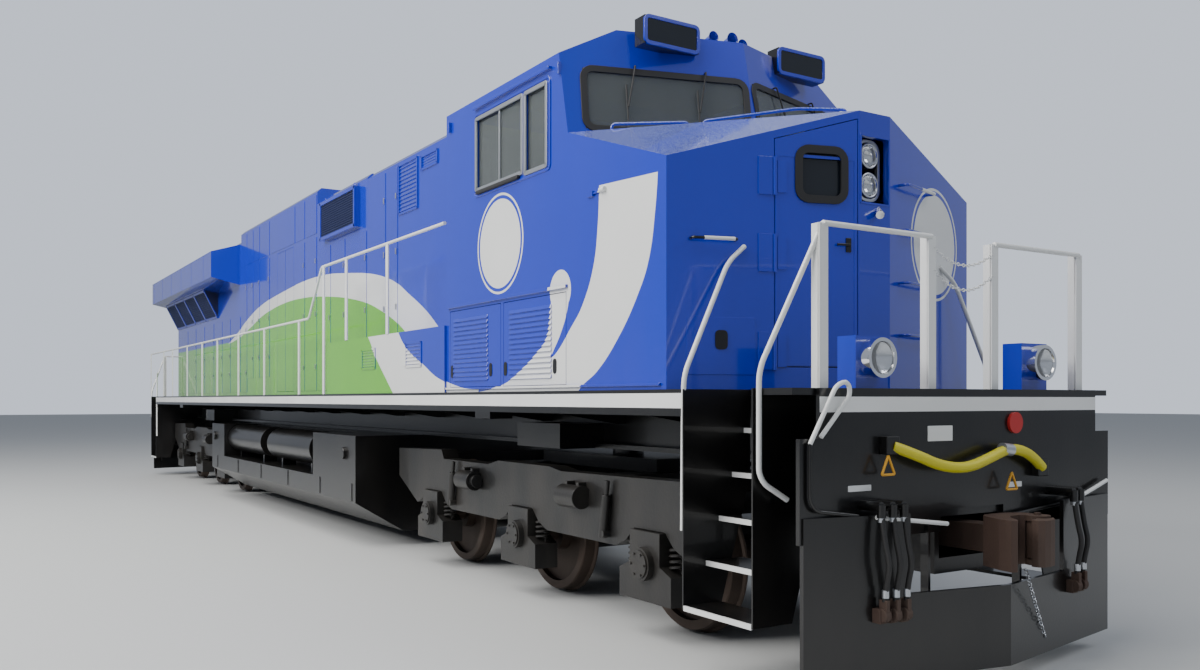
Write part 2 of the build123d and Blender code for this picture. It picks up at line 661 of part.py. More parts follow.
with BuildPart() as radiator_wings:
    for side in (1, -1):
        prism(at_x(WING_REAR_X), [
            (side * HOOD_HALF, 3885), (side * SILL_Y, WING_BOTTOM_Z), (side * SILL_Y, WING_TOP_Z),
            (side * HOOD_HALF, RADIATOR_TOP - 60),
        ], RADIATOR_X - 100 - WING_REAR_X)
save(radiator_wings, "radiator_wings")

with BuildPart() as radiator_screens:
    for side in (1, -1):
        prism(at_x(HOOD_REAR_X + 20), [
            (side * HOOD_HALF, SCREEN_FOOT_Z), (side * SCREEN_TOP[0], SCREEN_TOP[1]), (side * HOOD_HALF, 3885),
        ], SCREEN_FRONT_X - HOOD_REAR_X - 20)
save(radiator_screens, "radiator_screens")


# Couplers. Plan outlines give the distance ahead of the coupling face and the distance towards the
# knuckle's side; the knuckle hangs on a pin between two lugs of the head.

SHANK_HALF = 80.0
SHANK_HALF_HEIGHT = 85.0
KNUCKLE_PIN = (-150.0, 150.0)
KNUCKLE_PIN_RADIUS = 20.0
PIN_GAP = 1.5
HUB_HALF_HEIGHT = 112.0
HUB_OUTER_RADIUS = 66.0
NOSE_HALF_HEIGHT = 140.0
HEAD_HALF_HEIGHT = 152.0
LUG_RADIUS = 75.0
HEAD_OUTLINE = [
    (-COUPLER_PIVOT, -SHANK_HALF), (-360, -SHANK_HALF), (-300, -175), (-140, -240), (-45, -255), (-25, -225),
    (-50, -185), (-150, -115), (-215, -30), (-215, 60), (-190, 90), (-225, 215), (-300, 200), (-360, SHANK_HALF),
    (-COUPLER_PIVOT, SHANK_HALF),
]
NOSE_OUTLINE = [
    (-150, 216), (-80, 205), (-18, 130), (0, 60), (0, 5), (-22, -30), (-68, -30), (-88, 10), (-92, 60), (-125, 90),
]


def coupler_plan(points, end):
    """Plan points of a coupler moved to its end of the locomotive."""
    return [(end * (COUPLER_FACE + x), end * y) for x, y in points]


for end_name, end in (("front", 1), ("rear", -1)):
    pin = coupler_plan([KNUCKLE_PIN], end)[0]
    draft_pin = (end * (COUPLER_FACE - COUPLER_PIVOT), 0)
    with BuildPart() as coupler:
        with BuildSketch(Plane.XY.offset(COUPLER_Z - HEAD_HALF_HEIGHT)) as head:
            with BuildLine():
                Polyline(*coupler_plan(HEAD_OUTLINE, end), close=True)
            make_face()
            with Locations(pin):
                Circle(LUG_RADIUS)
        extrude(head.sketch, amount=2 * HEAD_HALF_HEIGHT)
        for low, high in ((SHANK_HALF_HEIGHT, HEAD_HALF_HEIGHT + 1), (-HEAD_HALF_HEIGHT - 1, -SHANK_HALF_HEIGHT)):
            box((end * (COUPLER_FACE - COUPLER_PIVOT - 10), end * (COUPLER_FACE - 350)), (-200, 200),
                (COUPLER_Z + low, COUPLER_Z + high), mode=Mode.SUBTRACT)
        with BuildSketch(Plane.XY.offset(COUPLER_Z - HUB_HALF_HEIGHT - PIVOT_GAP)) as seat:
            with Locations(pin):
                Circle(LUG_RADIUS + 1)
        extrude(seat.sketch, amount=2 * (HUB_HALF_HEIGHT + PIVOT_GAP), mode=Mode.SUBTRACT)
        with Locations((*pin, COUPLER_Z)):
            Cylinder(KNUCKLE_PIN_RADIUS, 2 * HEAD_HALF_HEIGHT + 30)
        with Locations((*draft_pin, COUPLER_Z)):
            Cylinder(SHANK_HALF, 2 * SHANK_HALF_HEIGHT)
            Cylinder(DRAFT_PIN_RADIUS + PIN_GAP, 2 * SHANK_HALF_HEIGHT, mode=Mode.SUBTRACT)
    save(coupler, f"coupler_{end_name}")
    with BuildPart() as knuckle:
        with BuildSketch(Plane.XY.offset(COUPLER_Z - NOSE_HALF_HEIGHT)) as nose:
            with BuildLine():
                Polyline(*coupler_plan(NOSE_OUTLINE, end), close=True)
            make_face()
            fillet(nose.vertices(), 9)
            with Locations(pin):
                Circle(HUB_OUTER_RADIUS)
        extrude(nose.sketch, amount=2 * NOSE_HALF_HEIGHT)
        for side in (1, -1):
            with Locations((*pin, COUPLER_Z + side * (HUB_HALF_HEIGHT + 50))):
                Cylinder(LUG_RADIUS + PIVOT_GAP, 100, mode=Mode.SUBTRACT)
        with Locations((*pin, COUPLER_Z)):
            Cylinder(KNUCKLE_PIN_RADIUS + PIN_GAP, 2 * NOSE_HALF_HEIGHT, mode=Mode.SUBTRACT)
    save(knuckle, f"knuckle_{end_name}")


# Handrails: flat posts on the sill with round rails

POST_Y = 1545.0
POST_WIDTH = 70.0
POST_THICK = 14.0
RAIL_RADIUS = 17.0
LOW_POSTS = [-10900, -9170, -8100, -6470, -5020, -3710, -2120, -470, 1360]
HIGH_POSTS = [2450, 3330, 4690]
LOW_RAIL_Z = 2840.0
HIGH_RAIL_Z = 3460.0

for name, side in (("right", -1), ("left", 1)):
    with BuildPart() as handrail:
        y = side * POST_Y
        for x in LOW_POSTS:
            box((x - POST_WIDTH / 2, x + POST_WIDTH / 2), (side * SILL_Y, side * (SILL_Y - POST_THICK)), (DECK_TOP, LOW_RAIL_Z))
        for x in HIGH_POSTS:
            box((x - POST_WIDTH / 2, x + POST_WIDTH / 2), (side * SILL_Y, side * (SILL_Y - POST_THICK)),
                (DECK_TOP if x < WALKWAY_BOX_X[0] else WALKWAY_BOX_TOP, HIGH_RAIL_Z))
        tube([(-10900, y, LOW_RAIL_Z), (1790, y, LOW_RAIL_Z), (2350, y, HIGH_RAIL_Z), (CAB_REAR_X, y, HIGH_RAIL_Z)],
             120, RAIL_RADIUS)
    save(handrail, f"handrail_{name}")

with BuildPart() as end_handrails:
    for end in (1, -1):
        x = end * (PLATFORM_END - 40)
        for y in (-1250, -310, 310, 1250):
            box((x - 7, x + 7), (y - 35, y + 35), (DECK_TOP, 2800))
        for side in (1, -1):
            tube([(x, side * 310, 2800), (x, side * 1250, 2800)], 0, RAIL_RADIUS)
save(end_handrails, "end_handrails")

with BuildPart() as number_boards:
    for side in (1, -1):
        box((8560, 8700), (side * 430, side * 960), (4560, 4780))
    add(cab_outer, mode=Mode.SUBTRACT)
save(number_boards, "number_boards")

with BuildPart() as headlights:
    for z in (3300, 3510):
        with Locations(Location((NOSE_FRONT_X - 110, 0, z), (0, 90, 0))):
            Cylinder(88, 100)
save(headlights, "headlights")

with BuildPart() as ditch_lights:
    for end in (1, -1):
        for side in (1, -1):
            box((end * 10730, end * 10880), (side * 660, side * 940), (DECK_TOP, 2160))
            with Locations(Location((end * 10900, side * 800, 2025), (0, 90, 0))):
                Cylinder(115, 60)
save(ditch_lights, "ditch_lights")

with BuildPart() as horn:
    box((7700, 8300), (-60, 60), (CAB_ROOF_Z, CAB_ROOF_Z + 60))
save(horn, "horn")
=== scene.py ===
"""Looks of the six-axle diesel locomotive: paint, glass, small fittings, camera and light.

Metres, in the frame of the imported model: +X forward, +Y to the left side, +Z up.
"""
import json
from math import atan2, cos, pi, radians, sin

import bmesh
import bpy
from mathutils import Matrix, Vector


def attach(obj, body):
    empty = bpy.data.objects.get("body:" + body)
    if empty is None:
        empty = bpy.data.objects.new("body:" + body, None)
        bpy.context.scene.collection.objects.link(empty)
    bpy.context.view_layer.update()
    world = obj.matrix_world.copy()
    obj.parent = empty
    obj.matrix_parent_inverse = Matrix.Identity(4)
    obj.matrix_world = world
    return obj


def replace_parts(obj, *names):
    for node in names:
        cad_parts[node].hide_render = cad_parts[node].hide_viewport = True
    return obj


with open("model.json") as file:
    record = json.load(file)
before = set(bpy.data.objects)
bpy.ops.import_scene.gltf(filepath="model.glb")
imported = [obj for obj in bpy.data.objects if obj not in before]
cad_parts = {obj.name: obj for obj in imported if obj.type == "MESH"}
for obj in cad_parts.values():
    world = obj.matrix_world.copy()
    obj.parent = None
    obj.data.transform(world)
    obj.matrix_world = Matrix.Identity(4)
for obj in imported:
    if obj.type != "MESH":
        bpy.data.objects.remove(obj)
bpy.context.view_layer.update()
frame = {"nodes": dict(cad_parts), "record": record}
nodes = frame["nodes"]

# Camera, floor and studio light

CAMERA_PLACE = Vector((15.22, -5.512, 1.7745))
CAMERA_AIM = Vector((-0.8443, 0.5358, 0.0))
CAMERA_LENS = 30.56
CAMERA_SHIFT = 0.0536

camera = bpy.data.objects.new("camera", bpy.data.cameras.new("camera"))
bpy.context.scene.collection.objects.link(camera)
camera.location = CAMERA_PLACE
camera.rotation_mode = "QUATERNION"
camera.rotation_quaternion = CAMERA_AIM.to_track_quat("-Z", "Y")
camera.data.lens = CAMERA_LENS
camera.data.sensor_width = 36.0
camera.data.shift_y = CAMERA_SHIFT
camera.data.clip_end = 500.0
bpy.context.scene.camera = camera

# Panels of light: name, place, aim, width and height, power in watts, colour
STUDIO_LIGHTS = [
    ("sky_panel", (4.0, -9.0, 16.0), (1.0, 0.0, 2.0), (20.0, 12.0), 3600.0, (1.0, 0.97, 0.92)),
    ("side_panel", (2.0, -24.0, 16.0), (2.0, 0.0, 2.0), (18.0, 8.0), 6500.0, (1.0, 0.98, 0.95)),
    ("front_panel", (20.0, 9.0, 15.0), (10.0, 0.0, 2.0), (9.0, 8.0), 900.0, (0.95, 0.97, 1.0)),
]
for name, place, aim, size, power, colour in STUDIO_LIGHTS:
    light = bpy.data.lights.new(name, "AREA")
    light.shape = "RECTANGLE"
    light.size, light.size_y = size
    light.energy = power
    light.color = colour
    lamp = bpy.data.objects.new(name, light)
    bpy.context.scene.collection.objects.link(lamp)
    lamp.location = place
    lamp.rotation_mode = "QUATERNION"
    lamp.rotation_quaternion = (Vector(aim) - Vector(place)).to_track_quat("-Z", "Y")

world = bpy.data.worlds.new("pale_studio")
bpy.context.scene.world = world
world.use_nodes = True
WORLD_LIGHT = 0.42
WORLD_BACKDROP = 0.95
backdrop = world.node_tree.nodes["Background"]
backdrop.inputs["Color"].default_value = (0.80, 0.87, 1.0, 1.0)
straight = world.node_tree.nodes.new("ShaderNodeLightPath")
bright = world.node_tree.nodes.new("ShaderNodeMapRange")
bright.inputs["To Min"].default_value = WORLD_LIGHT
bright.inputs["To Max"].default_value = WORLD_BACKDROP
world.node_tree.links.new(straight.outputs["Is Camera Ray"], bright.inputs["Value"])
world.node_tree.links.new(bright.outputs[0], backdrop.inputs["Strength"])


# Building shader trees

def node(tree, kind, inputs=None, **settings):
    """Add a shader node, with its properties set and its inputs set or linked."""
    made = tree.nodes.new("ShaderNode" + kind)
    for key, value in settings.items():
        setattr(made, key, value)
    for key, value in (inputs or {}).items():
        if isinstance(value, bpy.types.NodeSocket):
            tree.links.new(value, made.inputs[key])
        else:
            made.inputs[key].default_value = value
    return made


def reckon(tree, operation, first, second=0.0, clamp=False):
    """The result of one sum on sockets or numbers."""
    return node(tree, "Math", {0: first, 1: second}, operation=operation, use_clamp=clamp).outputs[0]


def mixed(tree, mask, under, over):
    """Over laid on under where mask is 1."""
    return node(tree, "Mix", {0: mask, 6: under, 7: over}, data_type="RGBA").outputs[2]


def all_of(tree, *masks):
    """1 where every mask is 1."""
    made = masks[0]
    for mask in masks[1:]:
        made = reckon(tree, "MULTIPLY", made, mask)
    return made


def any_of(tree, *masks):
    """1 where at least one mask is 1."""
    made = masks[0]
    for mask in masks[1:]:
        made = reckon(tree, "MAXIMUM", made, mask)
    return made


def between(tree, value, low, high):
    """1 where value lies between two others."""
    return all_of(tree, reckon(tree, "GREATER_THAN", value, low), reckon(tree, "LESS_THAN", value, high))


def curve(tree, value, points):
    """A line through points, each an input and its output, as a socket."""
    low, high = points[0][0], points[-1][0]
    floor = min(out for _, out in points)
    reach = max(out for _, out in points) - floor
    across = node(tree, "MapRange", {0: value, 1: low, 2: high})
    line = node(tree, "FloatCurve", {"Value": across.outputs[0]})
    handles = line.mapping.curves[0].points
    while len(handles) < len(points):
        handles.new(0.5, 0.5)
    for handle, (at, out) in zip(handles, points):
        handle.location = ((at - low) / (high - low), (out - floor) / reach)
    line.mapping.update()
    return reckon(tree, "MULTIPLY_ADD", line.outputs[0], reach) if floor == 0 else reckon(
        tree, "ADD", reckon(tree, "MULTIPLY", line.outputs[0], reach), floor)


def group(name, numbers=(), outputs=()):
    """A new node group: its tree, the sockets of its inputs by name, and its output node."""
    tree = bpy.data.node_groups.new(name, "ShaderNodeTree")
    for label, start in numbers:
        tree.interface.new_socket(label, in_out="INPUT", socket_type="NodeSocketFloat").default_value = start
    for label, kind in outputs:
        tree.interface.new_socket(label, in_out="OUTPUT", socket_type="NodeSocket" + kind)
    inputs = tree.nodes.new("NodeGroupInput").outputs
    return tree, inputs, tree.nodes.new("NodeGroupOutput").inputs


def place(tree):
    """X, Y and Z of the point being shaded, in metres."""
    apart = node(tree, "SeparateXYZ", {0: node(tree, "TexCoord").outputs["Object"]})
    return apart.outputs[0], apart.outputs[1], apart.outputs[2]


def noise(tree, scale, detail=3.0, stretch=(1.0, 1.0, 1.0)):
    """Noise on the point being shaded, drawn out along the axes by stretch."""
    shaped = node(tree, "Mapping", {0: node(tree, "TexCoord").outputs["Object"], 3: stretch})
    return node(tree, "TexNoise", {"Vector": shaped.outputs[0], "Scale": scale, "Detail": detail}).outputs[0]


# Effects that several materials share

def make_dust():
    """Road dust: thick low down, in patches and streaks."""
    tree, inputs, outputs = group("dust", [("Amount", 0.5), ("Low", 0.4), ("High", 2.4)], [("Mask", "Float")])
    height = place(tree)[2]
    fall = node(tree, "MapRange", {0: height, 1: inputs["Low"], 2: inputs["High"], 3: 1.0, 4: 0.12})
    streaks = noise(tree, 3.0, 6.0, (1.0, 1.0, 0.25))
    patches = node(tree, "MapRange", {0: streaks, 1: 0.35, 2: 0.7})
    tree.links.new(all_of(tree, fall.outputs[0], patches.outputs[0], inputs["Amount"]), outputs["Mask"])
    return tree


def make_surface():
    """Fine unevenness of paint or casting, as a normal and as a value round 0.5."""
    tree, inputs, outputs = group(
        "surface", [("Fine", 60.0), ("Depth", 0.02), ("Broad", 1.2)],
        [("Normal", "Vector"), ("Value", "Float")])
    spot = node(tree, "TexCoord").outputs["Object"]
    fine = node(tree, "TexNoise", {"Vector": spot, "Scale": inputs["Fine"], "Detail": 4.0}).outputs[0]
    broad = node(tree, "TexNoise", {"Vector": spot, "Scale": inputs["Broad"], "Detail": 2.0}).outputs[0]
    height = reckon(tree, "ADD", reckon(tree, "MULTIPLY", fine, 0.5), broad)
    bump = node(tree, "Bump", {"Strength": 1.0, "Distance": inputs["Depth"], "Height": height})
    tree.links.new(bump.outputs[0], outputs["Normal"])
    tree.links.new(broad, outputs["Value"])
    return tree


DUST = make_dust()
SURFACE = make_surface()

# Colours, linear
BLUE = (0.003, 0.024, 0.46, 1.0)
WHITE = (0.76, 0.77, 0.76, 1.0)
GREEN = (0.12, 0.46, 0.006, 1.0)
BLACK = (0.003, 0.003, 0.0035, 1.0)
DUSTY = (0.20, 0.17, 0.14, 1.0)
CAB_GREY = (0.22, 0.24, 0.25, 1.0)
SPECKLE = (0.30, 0.36, 0.62, 1.0)


# Paint scheme. Each line gives a height for a distance along the locomotive, or the other way round.

# Top of the white arc, then its lower edge where green begins
WHITE_ARC = [
    (-5.2, 2.82), (-4.5, 2.97), (-3.45, 3.24), (-2.65, 3.384), (-1.43, 3.49), (0.5, 3.555), (1.96, 3.458),
    (3.17, 3.295), (4.14, 2.959), (4.89, 2.574), (5.19, 2.33), (5.62, 2.145), (6.35, 1.915), (6.82, 1.866),
    (7.29, 1.87),
]
GREEN_ARC = [
    (-5.2, 2.83), (-4.23, 2.91), (-3.45, 3.037), (-2.35, 3.225), (-1.28, 3.306), (-0.32, 3.308),
    (0.97, 3.229),
    (2.40, 3.049), (3.17, 2.863), (3.92, 2.574), (4.36, 2.21), (4.79, 1.885), (4.9, 1.80),
]
# Right side of the blue bowl, the finger of white beside it, and the two sides of the broad white sweep
BOWL_SIDE = [
    (1.84, 6.9), (1.883, 7.29), (1.937, 7.52), (2.0, 7.685), (2.138, 7.971), (2.273, 8.16), (2.40, 8.20),
    (3.4, 8.20),
]
FINGER_SIDE = [
    (1.84, 7.9), (2.09, 8.20), (2.141, 8.242), (2.291, 8.372), (2.439, 8.46), (2.564, 8.50), (2.69, 8.525),
    (3.4, 8.525),
]
SWEEP_INNER = [
    (1.84, 7.9), (2.09, 8.20), (2.133, 8.294), (2.309, 8.51), (2.496, 8.705), (2.777, 8.857), (3.012, 8.905),
    (3.4, 8.93),
]
SWEEP_OUTER = [
    (1.84, 8.64), (1.863, 8.669), (1.982, 8.903), (2.177, 9.147), (2.485, 9.418), (2.721, 9.557), (3.03, 9.63),
    (3.4, 9.67),
]
# Round tip of the finger: along, height, radius
FINGER_TOP = (8.3625, 2.62, 0.1625)
# Sloping top of the sweep: its height at a place along, and its slope
SWEEP_TOP = (3.34, 8.90, -0.052)
GREEN_REAR_TOP = 2.86
GREEN_FRONT = 4.85
ARC_END = -5.1
BOWL_START = 6.9
# Room inside the cab: along, half its width, height. Then the lean of its front: out, up and from what height
CAB_INSIDE = ((6.22, 8.90), 1.50, (2.0, 4.45))
FRONT_SWEEP = (0.298, 0.215, 3.825)
SIDE_SLANT = 0.9
# Plain white roundels: centre, then the radii of the disc and of the thin ring round it
ROUNDELS = [(7.32, 1.527, 3.12), (7.32, -1.527, 3.12), (9.945, 0.908, 2.97)]
ROUNDEL_RADII = (0.385, 0.415, 0.435)
NOSE_TOP = (8.5, 3.35)
NOSE_TOP_END = 4.0
NOSE_TOP_SLANT = 0.25
# White band along the side sills, and white plate across each end: half its width, low and high
SILL_BAND = (1.717, 1.815)
END_BAND = (1.345, 1.70, 1.79)
SILL_OUTSIDE = 1.53
END_OUTSIDE = 10.955


def make_livery():
    """The paint scheme of both sides, as a colour."""
    tree, _, outputs = group("livery", [], [("Color", "Color"), ("Inside", "Float")])
    x, y, z = place(tree)
    behind_bowl = reckon(tree, "LESS_THAN", x, BOWL_START)
    below_white = reckon(tree, "LESS_THAN", z, curve(tree, x, WHITE_ARC))
    below_green = reckon(tree, "LESS_THAN", z, curve(tree, x, GREEN_ARC))
    arc = all_of(tree, below_white, reckon(tree, "GREATER_THAN", x, ARC_END), behind_bowl)
    green = all_of(
        tree, below_green, reckon(tree, "GREATER_THAN", x, ARC_END), reckon(tree, "LESS_THAN", x, GREEN_FRONT))
    rear = all_of(tree, reckon(tree, "LESS_THAN", x, ARC_END), reckon(tree, "LESS_THAN", z, GREEN_REAR_TOP))
    top_x, top_z, radius = FINGER_TOP
    aside = reckon(tree, "POWER", reckon(tree, "ABSOLUTE", reckon(tree, "SUBTRACT", x, top_x)), 2.0)
    above = reckon(tree, "POWER", reckon(tree, "ABSOLUTE", reckon(tree, "SUBTRACT", z, top_z)), 2.0)
    away = reckon(tree, "ADD", aside, above)
    tip = reckon(tree, "LESS_THAN", away, radius * radius)
    finger = all_of(
        tree, reckon(tree, "GREATER_THAN", x, curve(tree, z, BOWL_SIDE)),
        reckon(tree, "LESS_THAN", x, curve(tree, z, FINGER_SIDE)), reckon(tree, "LESS_THAN", z, top_z))
    top_height, top_place, top_slope = SWEEP_TOP
    lean = reckon(tree, "MULTIPLY", reckon(tree, "SUBTRACT", x, top_place), top_slope)
    sloped = reckon(tree, "ADD", lean, top_height)
    sweep = all_of(
        tree, reckon(tree, "GREATER_THAN", x, curve(tree, z, SWEEP_INNER)),
        reckon(tree, "LESS_THAN", x, curve(tree, z, SWEEP_OUTER)), reckon(tree, "LESS_THAN", z, sloped))
    facing = node(tree, "SeparateXYZ", {0: node(tree, "NewGeometry").outputs["True Normal"]})
    on_side = reckon(tree, "GREATER_THAN", reckon(tree, "ABSOLUTE", facing.outputs[1]), SIDE_SLANT)
    white = all_of(tree, any_of(tree, arc, finger, tip, sweep), on_side)
    colour = mixed(tree, white, BLUE, WHITE)
    colour = mixed(tree, all_of(tree, any_of(tree, green, rear), on_side), colour, GREEN)
    for middle in ROUNDELS:
        here = node(tree, "TexCoord").outputs["Object"]
        away = node(tree, "VectorMath", {0: here, 1: middle}, operation="DISTANCE").outputs["Value"]
        disc, ring_in, ring_out = ROUNDEL_RADII
        patch = any_of(tree, reckon(tree, "LESS_THAN", away, disc), between(tree, away, ring_in, ring_out))
        colour = mixed(tree, patch, colour, WHITE)
    grains = node(tree, "MapRange", {0: noise(tree, 160.0, 2.0), 1: 0.42, 2: 0.62})
    on_top = all_of(
        tree, reckon(tree, "GREATER_THAN", facing.outputs[2], NOSE_TOP_SLANT),
        reckon(tree, "GREATER_THAN", x, NOSE_TOP[0]), reckon(tree, "GREATER_THAN", z, NOSE_TOP[1]),
        reckon(tree, "LESS_THAN", z, NOSE_TOP_END))
    colour = mixed(tree, all_of(tree, on_top, grains.outputs[0]), colour, SPECKLE)
    (back, ahead), half, (low, high) = CAB_INSIDE
    sweep_out, rake, foot = FRONT_SWEEP
    outward = reckon(tree, "MULTIPLY", reckon(tree, "ABSOLUTE", y), sweep_out)
    upward = reckon(tree, "MULTIPLY", reckon(tree, "SUBTRACT", z, foot), rake)
    to_front = reckon(tree, "ADD", x, reckon(tree, "ADD", outward, upward))
    inside = all_of(
        tree, reckon(tree, "GREATER_THAN", x, back), reckon(tree, "LESS_THAN", to_front, ahead),
        between(tree, z, low, high), reckon(tree, "LESS_THAN", reckon(tree, "ABSOLUTE", y), half))
    tree.links.new(mixed(tree, inside, colour, CAB_GREY), outputs["Color"])
    tree.links.new(inside, outputs["Inside"])
    return tree


def make_bands():
    """Black frame paint with the white band of the side sills and the white plate of the ends."""
    tree, _, outputs = group("bands", [], [("Color", "Color")])
    x, y, z = place(tree)
    half, low, high = END_BAND
    on_sill = all_of(
        tree, reckon(tree, "GREATER_THAN", reckon(tree, "ABSOLUTE", y), SILL_OUTSIDE),
        between(tree, z, *SILL_BAND))
    on_end = all_of(
        tree, reckon(tree, "GREATER_THAN", reckon(tree, "ABSOLUTE", x), END_OUTSIDE),
        between(tree, z, low, high),
        reckon(tree, "LESS_THAN", reckon(tree, "ABSOLUTE", y), half))
    tree.links.new(mixed(tree, any_of(tree, on_sill, on_end), BLACK, WHITE), outputs["Color"])
    return tree


LIVERY = make_livery()
BANDS = make_bands()


DUST_TOP = 2.4


def material(name, base, roughness, metallic=0.0, coat=0.0, dust=0.3, fine=60.0, depth=0.001, tint=0.12):
    """A material: base is a colour or a node group that puts one out. Dust lies on it low down."""
    made = bpy.data.materials.new(name)
    made.use_nodes = True
    tree = made.node_tree
    shader = tree.nodes["Principled BSDF"]
    if isinstance(base, bpy.types.NodeTree):
        base = node(tree, "Group", node_tree=base).outputs["Color"]
    surface = node(tree, "Group", node_tree=SURFACE)
    surface.inputs["Fine"].default_value = fine
    surface.inputs["Depth"].default_value = depth
    shade = node(tree, "HueSaturation", {"Color": base, "Value": reckon(
        tree, "ADD", reckon(tree, "MULTIPLY", surface.outputs["Value"], 2.0 * tint), 1.0 - tint)})
    dirt = node(tree, "Group", node_tree=DUST)
    dirt.inputs["Amount"].default_value = dust
    dirt.inputs["High"].default_value = DUST_TOP
    mask = dirt.outputs["Mask"]
    tree.links.new(mixed(tree, mask, shade.outputs[0], DUSTY), shader.inputs["Base Color"])
    rough = node(tree, "MapRange", {0: mask, 3: roughness, 4: min(1.0, roughness + 0.45)})
    tree.links.new(rough.outputs[0], shader.inputs["Roughness"])
    tree.links.new(surface.outputs["Normal"], shader.inputs["Normal"])
    shader.inputs["Metallic"].default_value = metallic
    shader.inputs["Coat Weight"].default_value = coat
    shader.inputs["Coat Roughness"].default_value = 0.06
    return made


def glass(name, tone):
    """Tinted cab glass."""
    made = bpy.data.materials.new(name)
    made.use_nodes = True
    tree = made.node_tree
    shader = tree.nodes["Principled BSDF"]
    smear = noise(tree, 1.4, 5.0)
    tree.links.new(node(tree, "MapRange", {0: smear, 1: 0.4, 2: 0.7, 3: 0.02, 4: 0.10}).outputs[0],
                   shader.inputs["Roughness"])
    darker = [channel * 0.85 for channel in tone[:3]] + [1.0]
    tree.links.new(mixed(tree, smear, tone, darker), shader.inputs["Base Color"])
    shader.inputs["Transmission Weight"].default_value = 0.85
    shader.inputs["IOR"].default_value = 1.45
    return made


BODY_PAINT = material("body_paint", LIVERY, 0.22, coat=1.0, dust=0.10, fine=25.0, depth=0.0008, tint=0.05)
BLACK_PAINT = material("black_paint", BLACK, 0.30, coat=0.25, dust=0.05, depth=0.0012, tint=0.2)
WHITE_PAINT = material("white_paint", WHITE, 0.35, coat=0.4, dust=0.06, tint=0.05)
GEAR_PAINT = material(
    "running_gear_paint", (0.007, 0.007, 0.007, 1.0), 0.42, coat=0.15, dust=0.12, fine=40.0, depth=0.003,
    tint=0.3)
WHEEL_STEEL = material(
    "wheel_steel", (0.06, 0.042, 0.034, 1.0), 0.55, metallic=0.7, dust=0.2, fine=30.0, depth=0.002, tint=0.35)
CAST_IRON = material(
    "coupler_iron", (0.075, 0.045, 0.035, 1.0), 0.7, metallic=0.5, dust=0.3, fine=70.0, depth=0.004, tint=0.4)
LAMP_METAL = material("lamp_metal", (0.75, 0.76, 0.78, 1.0), 0.2, metallic=0.9, dust=0.03)
SEAT_CLOTH = material("seat_cloth", (0.03, 0.03, 0.035, 1.0), 0.85, dust=0.0, fine=400.0, depth=0.0005)
DESK_PAINT = material("desk_paint", (0.10, 0.11, 0.12, 1.0), 0.5, dust=0.0, fine=200.0)
ENGINE_PAINT = material("engine_paint", (0.25, 0.27, 0.30, 1.0), 0.5, dust=0.1)
SCREEN_MESH = material("screen_mesh", (0.008, 0.011, 0.045, 1.0), 0.5, dust=0.05, fine=300.0, depth=0.002)
BOARD_FACE = material("board_face", (0.006, 0.006, 0.007, 1.0), 0.15, coat=0.6, dust=0.02)
CAB_GLASS = glass("cab_glass", (0.45, 0.50, 0.50, 1.0))

# The material of each record slot
FINISH = {
    "blue": BODY_PAINT, "white": WHITE_PAINT, "black": BLACK_PAINT, "running_gear": GEAR_PAINT,
    "wheel_steel": WHEEL_STEEL, "coupler_iron": CAST_IRON, "glass": CAB_GLASS, "lamp": LAMP_METAL,
    "seat": SEAT_CLOTH, "interior": DESK_PAINT, "engine": ENGINE_PAINT, "screen": SCREEN_MESH,
    "board": BOARD_FACE,
}
for subpart in frame["record"]["subparts"]:
    shown = nodes[subpart["node"]]
    shown.data.materials.clear()
    shown.data.materials.append(FINISH[subpart["material_slot"]])


def plain(name, colour, roughness, metallic=0.0, fine=120.0, depth=0.0004, tint=0.08):
    """A clean finish for a small fitting."""
    return material(name, colour, roughness, metallic=metallic, dust=0.05, fine=fine, depth=depth, tint=tint)


SILL_PAINT = material("sill_paint", BANDS, 0.28, coat=0.35, dust=0.04, depth=0.0010, tint=0.15)
RUBBER = plain("gasket_rubber", (0.012, 0.012, 0.013, 1.0), 0.55)
BARE_METAL = plain("bare_metal", (0.55, 0.57, 0.60, 1.0), 0.32, metallic=0.9)
LAMP_BOWL = plain("lamp_bowl", (0.85, 0.86, 0.88, 1.0), 0.08, metallic=1.0)
YELLOW_RUBBER = plain("cable_yellow", (0.62, 0.56, 0.02, 1.0), 0.5, fine=300.0)
AMBER_PAINT = plain("handle_amber", (0.72, 0.36, 0.02, 1.0), 0.4)
RED_PAINT = plain("disc_red", (0.45, 0.02, 0.02, 1.0), 0.4)
# Near-black glossy sheet. On the number boards it is their own colour. On the door panes and behind the intake
# mesh it is painted shade, standing in for the dim room behind glass or mesh.
DARK_PANE_AND_PAINTED_SHADE = plain("dark_pane_and_painted_shade", (0.012, 0.016, 0.022, 1.0), 0.06)
MESH_WIRE = plain("mesh_wire", (0.02, 0.03, 0.10, 1.0), 0.5, fine=400.0, depth=0.003)
LENS = glass("lamp_lens", (0.92, 0.94, 0.96, 1.0))

# Finishes of the pieces made here: the material and the record's slot it belongs to, where it has one
PIECE_FINISH = {
    "body": (BODY_PAINT, "blue"), "white": (WHITE_PAINT, "white"), "black": (BLACK_PAINT, "black"),
    "gear": (GEAR_PAINT, "running_gear"), "rubber": (RUBBER, None), "metal": (BARE_METAL, "lamp"),
    "bowl": (LAMP_BOWL, "lamp"), "yellow": (YELLOW_RUBBER, None), "amber": (AMBER_PAINT, None),
    "red": (RED_PAINT, None), "pane": (DARK_PANE_AND_PAINTED_SHADE, None), "mesh": (MESH_WIRE, "screen"),
    "lens": (LENS, "glass"), "cloth": (SEAT_CLOTH, "seat"), "iron": (CAST_IRON, "coupler_iron"),
}
for name in ("underframe", "pilot_front", "pilot_rear"):
    nodes[name].data.materials.clear()
    nodes[name].data.materials.append(SILL_PAINT)


# Shaping. Each shape starts as a bmesh of its own and is added to the piece's.

MERGE_REACH = 0.00005


